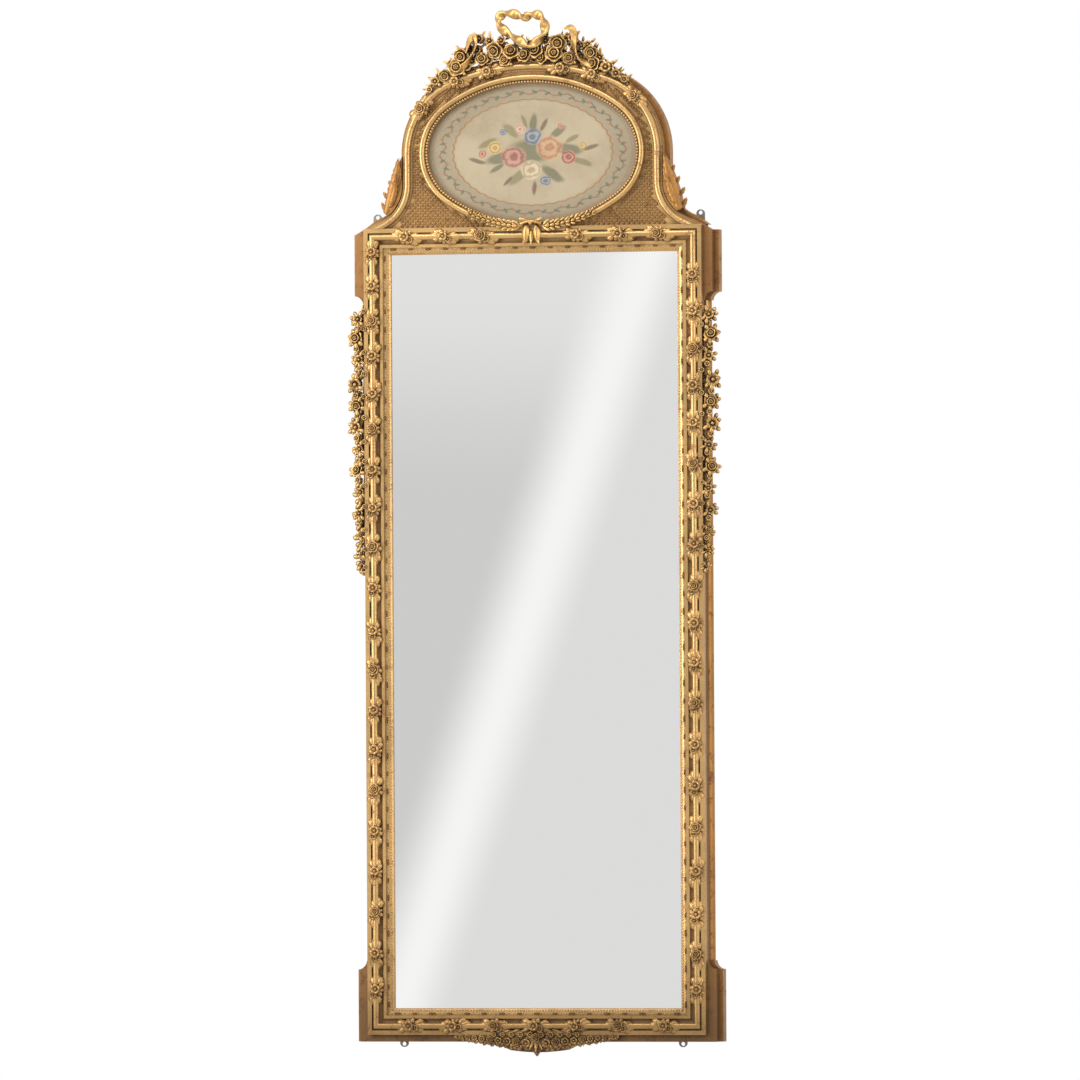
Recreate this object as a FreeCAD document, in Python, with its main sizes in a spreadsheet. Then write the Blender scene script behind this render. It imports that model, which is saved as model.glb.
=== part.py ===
import FreeCAD, Part
import math
import os
import re

import Sketcher
from FreeCAD import Vector

# A tall carved and gilded trumeau mirror for a wall, in millimetres. +X is the viewer's right, +Z is up
# and the wall is the plane Y = 0, so the front looks towards -Y. A "level" is a distance out from the
# wall: Y = -level.
# The origin is on the wall, on the centre line, at the bottom edge of the base board.
SIZES = {
    # the mirror's opening
    "sight_width": 682,
    "sight_height": 1736,
    "sight_bottom": 77,
    "glass_thick": 6,
    "glass_cover": 8,
    "glass_clear": 3,
    # the moulding round it, from the sight edge outwards
    "slip_width": 16.5,
    "fillet_width": 7,
    "cove_width": 10.5,
    "reed_width": 14,
    "quirk_width": 3,
    "flat_width": 10,
    # and how far each member stands out from the carcass
    "slip_lip": 4,
    "slip_rise": 12,
    "slip_round": 22,
    "fillet_rise": 16,
    "cove_rise": 9,
    "cove_round": 9,
    "reed_rise": 24,
    "reed_crown": 5,
    "quirk_rise": 10,
    "flat_rise": 20,
    # the carcass behind it
    "stile_depth": 46,
    "tenon_thick": 16,
    "tenon_long": 30,
    "tenon_shoulder": 10,
    "joint_clear": 0.3,
    "board_thick": 11,
    "board_rebate": 12,
    "board_gap": 2,
    "board_screw_in": 30,
    # the case at the back and the boards on its neck
    "case_depth": 28,
    "neck_depth": 6,
    "front_thick": 18,
    "case_reach": 32,
    "neck_set": 2,
    "ear_reach": 21,
    "torus_wide": 26,
    "torus_bulge": 11,
    "corner_cove": 20,
    "cove_bend": 1.05,
    "ear_high": 174,
    "ear_slope": 12,
    "foot_top": 186,
    # the arched crest: its foot and its waist set in from the frame's sides and up from its top
    "sweep_foot_in": 24,
    "sweep_foot_rise": 14,
    "waist_in": 90,
    "waist_rise": 171,
    "waist_straight": 70,
    "crest_rise": 213,
    "shoulder_round": 190,
    "cornice_out": 8,
    "cornice_in": 30,
    "crest_set": 2,
    "arch_outer": 4,
    "arch_band": 22,
    "arch_base": 6,
    "arch_reed_high": 16,
    "arch_reed_turn": 6,
    "crest_leaf_down": 5,
    "crest_leaf_rise": 31,
    "crest_leaf_wide": 13.5,
    "crest_leaf_tip": 7,
    "crest_leaf_round": 460,
    "crest_leaf_level": 60,
    "ground_thick": 2.5,
    # the painted oval
    "oval_side_gap": 18,
    "oval_top_gap": 7.5,
    "oval_end_round": 118,
    "oval_ring": 20,
    "oval_ring_high": 18,
    "oval_ring_crown": 5,
    "oval_bead_wide": 7,
    "oval_bead_high": 8,
    "oval_cover": 7,
    "oval_clear": 1,
    "canvas_thick": 2,
    "strainer_wide": 40,
    "panel_board_thick": 7,
    "panel_board_lap": 14,
    # ornament
    "seat_clear": 0.3,
    "clasp_half": 10,
    "clasp_below": 42,
    "clasp_above": 13,
    "clasp_high": 16,
    "clasp_side": 8,
    "clasp_tip": 13,
    "clasp_cap": 6,
    "clasp_cap_over": 2,
    "laurel_start": 13,
    "laurel_end": 160,
    "laurel_in": 3,
    "laurel_wide": 15,
    "laurel_high": 8,
    "bow_centre": -14,
    "bow_half": 63,
    "bow_bottom": 26,
    "bow_widest": 76,
    "bow_top": 116,
    "bow_lobe": 46,
    "bow_hole_half": 44,
    "bow_hole_bottom": 41,
    "bow_hole_widest": 80,
    "bow_hole_top": 97,
    "bow_hole_lobe": 28,
    "bow_level": 66,
    "bow_thick": 20,
    "bloom_level": 62,
    "bloom_share": 31.2,
    "garland_long": 622,
    "garland_stem": 10,
    "garland_level": 46,
    "apron_half": 135,
    "apron_flat_half": 66,
    "apron_drop": 19,
    "apron_back": 16,
    "apron_round": 420,
    "apron_ogee": 150,
    "pendant_half": 10,
    "pendant_drop": 33,
    "carving_half": 192,
    "carving_edge": 12,
    "carving_high": 13,
    # wall plates and screws
    "plate_wide": 20,
    "plate_thick": 3,
    "plate_long": 48,
    "plate_eye_wide": 9.2,
    "plate_eye_round": 10.4,
    "plate_screw_first": 10,
    "plate_screw_gap": 20,
    "upper_plate_in": 17,
    "upper_plate_down": 20,
    "lower_plate_in": 70,
    "lower_plate_top": 42,
    "screw_wide": 4,
    "screw_head_wide": 8,
    "screw_head_high": 1.6,
    "screw_long": 24,
    "block_long": 70,
    "block_wide": 13,
}

doc = FreeCAD.newDocument("trumeau_mirror")
sheet = doc.addObject("Spreadsheet::Sheet", "Sizes")
for row, (alias, number) in enumerate(SIZES.items(), 1):
    sheet.set(f"A{row}", str(number))
    sheet.setAlias(f"A{row}", alias)
doc.recompute()

nodes = []
WORD = re.compile(r"[a-z][a-z_]*")


def bound(text):
    """The expression with every size's name pointed at its cell."""
    return WORD.sub(lambda word: f"Sizes.{word[0]}" if word[0] in SIZES else word[0], str(text))


def bind(thing, prop, text):
    thing.setExpression(prop, bound(text))


def size(text):
    return float(sheet.evalExpression(bound(text)))


def keep(thing, label):
    """Names a finished sub-part and lists it for writing."""
    thing.Label = label
    nodes.append(thing)
    return thing


# How far a cut runs past the wood that it takes away
SPARE = 5

# Lines that several pieces share, as expressions on the sizes
SIGHT_HALF = "(sight_width/2)"
SIGHT_TOP = "(sight_bottom + sight_height)"
MOULDING = "(slip_width + fillet_width + cove_width + reed_width + quirk_width + flat_width)"
FRAME_HALF = f"({SIGHT_HALF} + {MOULDING})"
FRAME_BOTTOM = f"(sight_bottom - {MOULDING})"
FRAME_TOP = f"({SIGHT_TOP} + {MOULDING})"
STILE_INNER = f"({SIGHT_HALF} + glass_cover + glass_clear)"
GLASS_BOTTOM = "(sight_bottom - glass_cover)"
GLASS_TOP = f"({SIGHT_TOP} + glass_cover)"
RAIL_TOP = "(sight_bottom - glass_cover - glass_clear)"
RAIL_BOTTOM = f"({SIGHT_TOP} + glass_cover + glass_clear)"
EAR_BOTTOM = f"({FRAME_TOP} - ear_high)"
WAIST_HALF = f"({FRAME_HALF} - waist_in)"
WAIST_HEIGHT = f"({FRAME_TOP} + waist_rise)"
CREST_TOP = f"({WAIST_HEIGHT} + crest_rise)"
NECK = "(case_depth + neck_depth)"
FRONT = f"({NECK} + front_thick)"
REED_LEVEL = "(stile_depth + reed_rise)"
REED_SIDE = "(stile_depth + reed_rise - reed_crown)"
REED_R = "((reed_width^2/4 + reed_crown^2)/(2*reed_crown))"
RING_LEVEL = f"({FRONT} + oval_ring_high)"
ORNAMENT_SEAT = f"(max({REED_LEVEL}; {RING_LEVEL}) + seat_clear)"


# Sketches and features
def arc_middle(start, end, radius):
    """The middle of the short arc from start to end; a positive radius has its centre on the way's left."""
    chord = end - start
    reach = chord.Length / 2
    bulge = abs(radius) - math.sqrt(max(radius * radius - reach * reach, 0))
    right = Vector(chord.y, -chord.x, 0) / chord.Length
    return (start + end) / 2 + right * math.copysign(bulge, radius)


def place(sketch, kind, edge, end, text):
    row = sketch.addConstraint(Sketcher.Constraint(kind, -1, 1, edge, end, size(text)))
    bind(sketch, f"Constraints[{row}]", text)


def draw(sketch, points, closed=True):
    """Draws an outline through (x, y) or (x, y, radius); a radius bends the way that leads to its point."""
    spots = [Vector(size(point[0]), size(point[1]), 0) for point in points]
    edges = []
    for number in range(0 if closed else 1, len(points)):
        start, end = spots[number - 1], spots[number]
        if len(points[number]) == 3:
            radius = size(points[number][2])
            curve = Part.Arc(start, arc_middle(start, end, radius), end)
            edge = sketch.addGeometry(curve, False)
            row = sketch.addConstraint(Sketcher.Constraint("Radius", edge, abs(radius)))
            bind(sketch, f"Constraints[{row}]", f"abs({points[number][2]})")
        else:
            edge = sketch.addGeometry(Part.LineSegment(start, end), False)
        if (sketch.getPoint(edge, 1) - start).Length < (sketch.getPoint(edge, 1) - end).Length:
            edges.append((edge, 1, 2))
        else:
            edges.append((edge, 2, 1))
    for number, (edge, first, last) in enumerate(edges):
        if closed or number:
            before, _, tail = edges[number - 1]
            sketch.addConstraint(Sketcher.Constraint("Coincident", before, tail, edge, first))
        x, y = points[number - 1 if closed else number][:2]
        place(sketch, "DistanceX", edge, first, x)
        place(sketch, "DistanceY", edge, first, y)
    if not closed:
        edge, _, last = edges[-1]
        place(sketch, "DistanceX", edge, last, points[-1][0])
        place(sketch, "DistanceY", edge, last, points[-1][1])


def ring(sketch, x, y, radius):
    """A circle in a sketch."""
    circle = Part.Circle(Vector(size(x), size(y), 0), Vector(0, 0, 1), size(radius))
    edge = sketch.addGeometry(circle, False)
    row = sketch.addConstraint(Sketcher.Constraint("Radius", edge, size(radius)))
    bind(sketch, f"Constraints[{row}]", radius)
    place(sketch, "DistanceX", edge, 3, x)
    place(sketch, "DistanceY", edge, 3, y)


def new_body():
    return doc.addObject("PartDesign::Body", "Body")


def new_sketch(body, plane, at="0"):
    """A sketch on an origin plane, or at a distance in front of it along the plane's normal."""
    sketch = body.newObject("Sketcher::SketchObject", "Sketch")
    support = next(face for face in body.Origin.OriginFeatures if face.Role == plane)
    sketch.AttachmentSupport = [(support, "")]
    sketch.MapMode = "FlatFace"
    bind(sketch, "AttachmentOffset.Base.z", at)
    return sketch


def extrude(body, sketch, length, kind="Pad"):
    feature = body.newObject(f"PartDesign::{kind}", kind)
    feature.Profile = sketch
    bind(feature, "Length", length)
    return feature


def front_pad(body, points, low, high, holes=()):
    """An outline seen from the front, filled from one level to another."""
    sketch = new_sketch(body, "XZ_Plane", low)
    draw(sketch, points)
    for hole in holes:
        draw(sketch, hole)
    extrude(body, sketch, f"({high}) - ({low})")


def front_cut(body, points, low, high):
    """The same, taken away."""
    sketch = new_sketch(body, "XZ_Plane", high)
    draw(sketch, points)
    extrude(body, sketch, f"({high}) - ({low})", "Pocket")


def front_bores(body, centres, radius, low, high):
    """Round holes seen from the front, between two levels."""
    sketch = new_sketch(body, "XZ_Plane", high)
    for x, z in centres:
        ring(sketch, x, z, radius)
    extrude(body, sketch, f"({high}) - ({low})", "Pocket")


def oblong(x_low, x_high, z_low, z_high):
    return [(x_low, z_low), (x_high, z_low), (x_high, z_high), (x_low, z_high)]


def box(x_low, x_high, low, high, z_low, z_high):
    """A plain rectangular block between two levels."""
    block = doc.addObject("Part::Box", "Box")
    bind(block, "Length", f"{x_high} - ({x_low})")
    bind(block, "Width", f"{high} - ({low})")
    bind(block, "Height", f"{z_high} - ({z_low})")
    bind(block, "Placement.Base.x", x_low)
    bind(block, "Placement.Base.y", f"-({high})")
    bind(block, "Placement.Base.z", z_low)
    return block


def side_name(side):
    return "right" if side > 0 else "left"


def mirrored(side, points):
    """The outline for one side of the centre line: its X and the sense of its arcs follow the side."""
    return [(f"{side}*({p[0]})", p[1]) + tuple(f"{side}*({r})" for r in p[2:]) for p in points]


def group(label, members):
    """Identical pieces in one node, each a solid of its own."""
    several = doc.addObject("Part::Compound", "Group")
    several.Links = members
    return keep(several, label)


def joined(members):
    """One carved piece made of overlapping forms."""
    if len(members) == 1:
        return members[0]
    fuse = doc.addObject("Part::MultiFuse", "Carving")
    fuse.Shapes = members
    return fuse


def lessened(base, tool):
    cut = doc.addObject("Part::Cut", "Seated")
    cut.Base = base
    cut.Tool = tool
    return cut


def ball(x, level, z, radius, turn=0):
    """A ball whose seam is turned about its upright axis, to lie clear of what the ball joins."""
    sphere = doc.addObject("Part::Sphere", "Ball")
    sphere.Placement.Rotation = FreeCAD.Rotation(Vector(0, 0, 1), turn)
    bind(sphere, "Radius", radius)
    bind(sphere, "Placement.Base.x", x)
    bind(sphere, "Placement.Base.y", f"-({level})")
    bind(sphere, "Placement.Base.z", z)
    return sphere


# The carcass: two stiles, two rails tenoned into them and the base board under the lower rail
def tenon_heights(low, high):
    return f"({low} + tenon_shoulder)", f"({high} - tenon_shoulder)"


TENON_LEVELS = ("(stile_depth/2 - tenon_thick/2)", "(stile_depth/2 + tenon_thick/2)")
RAILS = ((FRAME_BOTTOM, RAIL_TOP), (RAIL_BOTTOM, FRAME_TOP))


def plate_recess(body, side, half, bottom, top, z_low, z_high):
    """The shallow bed of a wall plate, where it crosses one piece of wood."""
    reach = "(plate_wide/2 + joint_clear)"
    bed = oblong(f"{half} - {reach}", f"{half} + {reach}", f"max({bottom}; {z_low})", f"min({top}; {z_high})")
    front_cut(body, mirrored(side, bed), "0", "plate_thick")


UPPER_PLATE_HALF = f"({FRAME_HALF} - upper_plate_in)"
UPPER_PLATE_BOTTOM = f"({FRAME_TOP} - upper_plate_down)"
UPPER_PLATE_TOP = f"({UPPER_PLATE_BOTTOM} + plate_long)"
LOWER_PLATE_HALF = f"({FRAME_HALF} - lower_plate_in)"
LOWER_PLATE_BOTTOM = "(lower_plate_top - plate_long)"
PILOT = "(screw_wide/2)"
HEAD_HOLE = "(screw_head_wide/2 + joint_clear/2)"


def upper_screws(side):
    x = f"{side}*{UPPER_PLATE_HALF}"
    first = f"{UPPER_PLATE_BOTTOM} + plate_screw_first"
    return [(x, first), (x, f"{first} + plate_screw_gap")]


def lower_screws(side):
    x = f"{side}*{LOWER_PLATE_HALF}"
    first = "lower_plate_top - plate_screw_first"
    return [(x, first), (x, f"{first} - plate_screw_gap")]


def stile(side):
    body = new_body()
    outline = oblong(STILE_INNER, FRAME_HALF, FRAME_BOTTOM, FRAME_TOP)
    front_pad(body, mirrored(side, outline), "0", "stile_depth")
    rebate_edge = f"({STILE_INNER} + board_rebate)"
    past_edge = f"({STILE_INNER} - {SPARE})"
    rebate = oblong(past_edge, rebate_edge, f"{RAIL_TOP} - board_rebate", f"{RAIL_BOTTOM} + board_rebate")
    front_cut(body, mirrored(side, rebate), "0", "board_rebate")
    for low, high in RAILS:
        z_low, z_high = tenon_heights(low, high)
        mortise = oblong(
            past_edge,
            f"({STILE_INNER} + tenon_long + joint_clear)",
            f"{z_low} - joint_clear",
            f"{z_high} + joint_clear",
        )
        level_low, level_high = TENON_LEVELS
        mortise_back = f"({level_low} - joint_clear)"
        mortise_front = f"({level_high} + joint_clear)"
        front_cut(body, mirrored(side, mortise), mortise_back, mortise_front)
    plate_recess(body, side, UPPER_PLATE_HALF, UPPER_PLATE_BOTTOM, UPPER_PLATE_TOP, FRAME_BOTTOM, FRAME_TOP)
    front_bores(body, upper_screws(side)[:1], PILOT, "0", "screw_long")
    board_screws = [(f"{side}*({BOARD_SCREW_X})", z) for z in BOARD_SCREW_HEIGHTS]
    front_bores(body, board_screws, PILOT, "0", BOARD_SCREW_END)
    return keep(body, f"{side_name(side)}_stile")


def rail(label, low, high, rebate_low, rebate_high):
    body = new_body()
    front_pad(body, oblong(f"-{STILE_INNER}", STILE_INNER, low, high), "0", "stile_depth")
    z_low, z_high = tenon_heights(low, high)
    reach = f"({STILE_INNER} + tenon_long)"
    front_pad(body, oblong(f"-{reach}", reach, z_low, z_high), *TENON_LEVELS)
    past_end = f"({STILE_INNER} + {SPARE})"
    front_cut(body, oblong(f"-{past_end}", past_end, rebate_low, rebate_high), "0", "board_rebate")
    return keep(body, label)


# Backboards: planks across the back of the glass, let into the rebate and screwed to its shoulder
BOARDS = 4
BOARD_HALF = f"({STILE_INNER} + board_rebate - board_gap)"
BOARDS_LOW = f"({RAIL_TOP} - board_rebate + board_gap)"
BOARDS_HIGH = f"({RAIL_BOTTOM} + board_rebate - board_gap)"
BOARD_PITCH = f"(({BOARDS_HIGH} - {BOARDS_LOW} + board_gap)/{BOARDS})"
BOARD_SCREW_X = f"({STILE_INNER} + board_rebate/2)"
BOARD_SCREW_END = "(board_rebate - board_thick + screw_long)"


def board_heights(number):
    low = f"({BOARDS_LOW} + {number}*{BOARD_PITCH})"
    return low, f"({low} + {BOARD_PITCH} - board_gap)"


def board_screw_heights(number):
    low, high = board_heights(number)
    return [f"{low} + board_screw_in", f"{high} - board_screw_in"]


BOARD_SCREW_HEIGHTS = [z for number in range(BOARDS) for z in board_screw_heights(number)]


def board_screw_spots(number):
    return [(f"{side}*{BOARD_SCREW_X}", z) for side in (-1, 1) for z in board_screw_heights(number)]


def back_board(number):
    body = new_body()
    low, high = board_heights(number)
    back = "(board_rebate - board_thick)"
    front_pad(body, oblong(f"-{BOARD_HALF}", BOARD_HALF, low, high), back, "board_rebate")
    front_bores(body, board_screw_spots(number), PILOT, back, "board_rebate")
    front_bores(body, board_screw_spots(number), HEAD_HOLE, back, f"{back} + screw_head_high")
    return keep(body, f"mirror_backboard_{number + 1}")


def screw(x, z, head_level):
    """A countersunk wood screw driven from the back, its head at the given level."""
    shank = doc.addObject("Part::Cylinder", "Shank")
    bind(shank, "Radius", f"{PILOT} - joint_clear/2")
    bind(shank, "Height", "screw_long")
    head = doc.addObject("Part::Cylinder", "Head")
    bind(head, "Radius", "screw_head_wide/2")
    bind(head, "Height", "screw_head_high")
    whole = doc.addObject("Part::Fuse", "Screw")
    whole.Base = shank
    whole.Tool = head
    whole.Placement.Rotation = FreeCAD.Rotation(Vector(1, 0, 0), 90)
    bind(whole, "Placement.Base.x", x)
    bind(whole, "Placement.Base.y", f"-({head_level})")
    bind(whole, "Placement.Base.z", z)
    return whole


for side in (-1, 1):
    stile(side)
rail("bottom_rail", FRAME_BOTTOM, RAIL_TOP, f"{RAIL_TOP} - board_rebate", f"{RAIL_TOP} + {SPARE}")
for side in (-1, 1):
    plate_recess(
        nodes[-1], side, LOWER_PLATE_HALF, LOWER_PLATE_BOTTOM, "lower_plate_top", FRAME_BOTTOM, RAIL_TOP
    )
    front_bores(nodes[-1], lower_screws(side)[:1], PILOT, "0", "screw_long")
rail("middle_rail", RAIL_BOTTOM, FRAME_TOP, f"{RAIL_BOTTOM} - {SPARE}", f"{RAIL_BOTTOM} + board_rebate")

base = new_body()
front_pad(base, oblong(f"-{FRAME_HALF}", FRAME_HALF, "0", FRAME_BOTTOM), "0", FRONT)
for side in (-1, 1):
    plate_recess(
        base, side, LOWER_PLATE_HALF, LOWER_PLATE_BOTTOM, "lower_plate_top", f"-{SPARE}", FRAME_BOTTOM
    )
    front_bores(base, lower_screws(side)[1:], PILOT, "0", "screw_long")
keep(base, "base_board")

# The mirror plate, the blocks that wedge it in its rebate and the boards that close the back
GLASS_BACK = "(stile_depth - glass_thick)"
GLASS_HALF = f"({SIGHT_HALF} + glass_cover)"
keep(box(f"-{GLASS_HALF}", GLASS_HALF, GLASS_BACK, "stile_depth", GLASS_BOTTOM, GLASS_TOP), "mirror_glass")
blocks = []
for side in (-1, 1):
    for share in (0.12, 0.38, 0.62, 0.88):
        x_low, x_high = f"({STILE_INNER} - block_wide)", STILE_INNER
        if side < 0:
            x_low, x_high = f"-{STILE_INNER}", f"(block_wide - {STILE_INNER})"
        middle = f"(sight_bottom + {share}*sight_height)"
        ends = (f"({middle} - block_long/2)", f"({middle} + block_long/2)")
        blocks.append(box(x_low, x_high, "board_rebate", GLASS_BACK, *ends))
group("glass_blocks", blocks)
for number in range(BOARDS):
    back_board(number)


# The mitred moulding round the glass, and the carved slip inside it
def moulding_section(out, sense, level_first):
    """The reeded moulding's section; out gives the place of a distance from the sight edge."""
    reed_start = "slip_width + fillet_width + cove_width"
    reed_end = f"{reed_start} + reed_width"
    flat_start = f"{reed_end} + quirk_width"
    steps = [
        ("slip_width", "stile_depth"),
        ("slip_width", "stile_depth + fillet_rise"),
        ("slip_width + fillet_width", "stile_depth + fillet_rise"),
        (reed_start, "stile_depth + cove_rise", "cove_round"),
        (reed_start, REED_SIDE),
        (reed_end, REED_SIDE, f"-{REED_R}"),
        (reed_end, "stile_depth + quirk_rise"),
        (flat_start, "stile_depth + quirk_rise"),
        (flat_start, "stile_depth + flat_rise"),
        (f"{flat_start} + flat_width", "stile_depth + flat_rise"),
        (f"{flat_start} + flat_width", "stile_depth"),
    ]
    return section(steps, out, sense, level_first)


def slip_section(out, sense, level_first):
    steps = [
        ("0", "stile_depth"),
        ("0", "stile_depth + slip_lip"),
        ("slip_width", "stile_depth + slip_rise", "-slip_round"),
        ("slip_width", "stile_depth"),
    ]
    return section(steps, out, sense, level_first)


def section(steps, out, sense, level_first):
    """Turns (distance, level, radius) steps into sketch points on the XY or YZ plane."""
    points = []
    for step in steps:
        place_out, level = out(f"({step[0]})"), f"-({step[1]})"
        pair = (level, place_out) if level_first else (place_out, level)
        points.append(pair + tuple(f"{sense}*({radius})" for radius in step[2:]))
    return points


def mitred(label, outline, upright, side):
    """One length of a mitred frame. Uprights take side as left or right, level members as bottom or top."""
    body = new_body()
    if upright:
        sketch = new_sketch(body, "XY_Plane", FRAME_BOTTOM)
        draw(sketch, outline(lambda u: f"{side}*({SIGHT_HALF} + {u})", -side, False))
        extrude(body, sketch, f"{FRAME_TOP} - {FRAME_BOTTOM}")
    else:
        sketch = new_sketch(body, "YZ_Plane", f"-{FRAME_HALF}")
        edge = SIGHT_TOP if side > 0 else "sight_bottom"
        draw(sketch, outline(lambda u: f"{edge} + ({side})*{u}", side, True))
        extrude(body, sketch, f"2*{FRAME_HALF}")
    corners = []
    for end in (-1, 1):
        outer = f"({FRAME_HALF} + {SPARE})"
        inner = f"({SIGHT_HALF} - {SPARE})"
        if upright:
            outer_z = f"({FRAME_TOP} + {SPARE})" if end > 0 else f"({FRAME_BOTTOM} - {SPARE})"
            inner_z = f"({SIGHT_TOP} - {SPARE})" if end > 0 else f"(sight_bottom + {SPARE})"
            corners.append([
                (f"{side}*{outer}", outer_z),
                (f"{side}*{inner}", inner_z),
                (f"{side}*{inner}", outer_z),
            ])
        else:
            outer_z = f"({FRAME_TOP} + {SPARE})" if side > 0 else f"({FRAME_BOTTOM} - {SPARE})"
            inner_z = f"({SIGHT_TOP} - {SPARE})" if side > 0 else f"(sight_bottom + {SPARE})"
            corners.append([
                (f"{end}*{outer}", outer_z),
                (f"{end}*{inner}", inner_z),
                (f"{end}*{outer}", inner_z),
            ])
    for corner in corners:
        front_cut(body, corner, f"stile_depth - {SPARE}", f"{REED_LEVEL} + {SPARE}")
    return keep(body, label)


for outline, name in ((moulding_section, "reeded_moulding"), (slip_section, "sight_slip")):
    mitred(f"left_{name}", outline, True, -1)
    mitred(f"right_{name}", outline, True, 1)
    mitred(f"bottom_{name}", outline, False, -1)
    mitred(f"top_{name}", outline, False, 1)


# Ears, feet and the torus between them: the case at the back, then the boards on its neck
def corner_outline(reach, low, high, top_in, cove_at_bottom, cove="corner_cove"):
    """An ear or a foot from the front: a quarter cove at the end that looks along the stile."""
    outer = f"({FRAME_HALF} + {reach})"
    if cove_at_bottom:
        return [
            (FRAME_HALF, low),
            (f"{outer} - {cove}", low),
            (outer, f"{low} + {cove}", f"-{cove}*cove_bend"),
            (outer, high),
            (FRAME_HALF, top_in),
        ]
    return [
        (FRAME_HALF, low),
        (outer, low),
        (outer, f"{high} - {cove}"),
        (f"{outer} - {cove}", high, f"-{cove}*cove_bend"),
        (FRAME_HALF, high),
    ]


def case_block(side, name, low, high, cove_at_bottom):
    body = new_body()
    case = corner_outline("case_reach", low, high, high, cove_at_bottom)
    front_pad(body, mirrored(side, case), "0", "case_depth")
    neck_reach, neck_cove = "(ear_reach - neck_set)", "(corner_cove - neck_set)"
    neck = corner_outline(neck_reach, low, high, high, cove_at_bottom, neck_cove)
    front_pad(body, mirrored(side, neck), "case_depth", NECK)
    return keep(body, f"{side_name(side)}_{name}_case")


for side in (-1, 1):
    case_block(side, "ear", EAR_BOTTOM, f"({FRAME_TOP} - ear_slope)", True)
    case_block(side, "foot", "0", "foot_top", False)
    ear = new_body()
    outline = corner_outline("ear_reach", EAR_BOTTOM, f"({FRAME_TOP} - ear_slope)", FRAME_TOP, True)
    front_pad(ear, mirrored(side, outline), NECK, FRONT)
    keep(ear, f"{side_name(side)}_ear")
    foot = new_body()
    outline = corner_outline("ear_reach", "0", "foot_top", "foot_top", False)
    front_pad(foot, mirrored(side, outline), NECK, FRONT)
    keep(foot, f"{side_name(side)}_foot")
    torus = new_body()
    sketch = new_sketch(torus, "XY_Plane", "foot_top")
    torus_radius = "((torus_wide^2/4 + torus_bulge^2)/(2*torus_bulge))"
    middle = "(case_depth/2)"
    lower, upper = f"-({middle} - torus_wide/2)", f"-({middle} + torus_wide/2)"
    draw(sketch, [(f"{side}*{FRAME_HALF}", lower, f"{side}*{torus_radius}"), (f"{side}*{FRAME_HALF}", upper)])
    extrude(torus, sketch, f"{EAR_BOTTOM} - foot_top")
    keep(torus, f"{side_name(side)}_side_torus")

# The crest: a sweep up from the ears to an upright waist, shoulders and a flatter crown, all tangent to
# each other
SWEEP_WIDE = "(waist_in - sweep_foot_in)"
SWEEP_HIGH = "(waist_rise - sweep_foot_rise - waist_straight)"
SWEEP_R = f"(({SWEEP_WIDE}^2 + {SWEEP_HIGH}^2)/(2*{SWEEP_WIDE}))"
SWEEP_X = f"({WAIST_HALF} + {SWEEP_R})"
SWEEP_TOP = f"({WAIST_HEIGHT} - waist_straight)"
SHOULDER_X = f"({WAIST_HALF} - shoulder_round)"
CROWN_R = f"(({SHOULDER_X}^2 + crest_rise^2 - shoulder_round^2)/(2*(crest_rise - shoulder_round)))"
TURN_SIN = f"({SHOULDER_X}/({CROWN_R} - shoulder_round))"
TURN_COS = f"(({CROWN_R} - crest_rise)/({CROWN_R} - shoulder_round))"


def sweep_foot(inset):
    """The sweep's end for a line set in from the crest's edge; all such lines end on one radius."""
    share = f"({SWEEP_R} + {inset})/{SWEEP_R}"
    return f"({SWEEP_X} - {share}*({SWEEP_R} - {SWEEP_WIDE}))", f"({SWEEP_TOP} - {share}*{SWEEP_HIGH})"


def sweep_leg(inset, height):
    """How far the sweep lies from its centre, measured level, at a height."""
    return f"sqrt(({SWEEP_R} + {inset})^2 - ({SWEEP_TOP} - {height})^2)"


def sweep_at(inset, height):
    return f"({SWEEP_X} - {sweep_leg(inset, height)})", height


def shoulder_point(inset, side):
    radius = f"(shoulder_round - {inset})"
    return f"{side}*({SHOULDER_X} + {radius}*{TURN_SIN})", f"({WAIST_HEIGHT} + {radius}*{TURN_COS})"


def arch_points(inset, foot):
    """The crest's edge from right to left, set in by a distance, from and to a point on the sweeps."""
    x, z = shoulder_point(inset, 1)
    return [
        foot,
        (f"({WAIST_HALF} - {inset})", SWEEP_TOP, f"-({SWEEP_R} + {inset})"),
        (f"({WAIST_HALF} - {inset})", WAIST_HEIGHT),
        (x, z, f"(shoulder_round - {inset})"),
        (f"-({x})", z, f"({CROWN_R} - {inset})"),
        (f"-({WAIST_HALF} - {inset})", WAIST_HEIGHT, f"(shoulder_round - {inset})"),
        (f"-({WAIST_HALF} - {inset})", SWEEP_TOP),
        (f"-{foot[0]}", foot[1], f"-({SWEEP_R} + {inset})"),
    ]


def backwards(points):
    """The same way walked from its end."""
    turned = []
    for number in range(len(points) - 1, -1, -1):
        bend = points[number + 1][2:] if number + 1 < len(points) else ()
        turned.append(points[number][:2] + tuple(f"-({radius})" for radius in bend))
    return turned


def crest_outline(inset):
    edge = arch_points(inset, sweep_foot(inset))
    return [(f"({FRAME_HALF} - ({inset}))", FRAME_TOP)] + edge + [(f"-({FRAME_HALF} - ({inset}))", FRAME_TOP)]


def cornice_outline(outer, inner):
    return crest_outline(outer) + backwards(arch_points(inner, sweep_at(inner, FRAME_TOP)))


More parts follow.
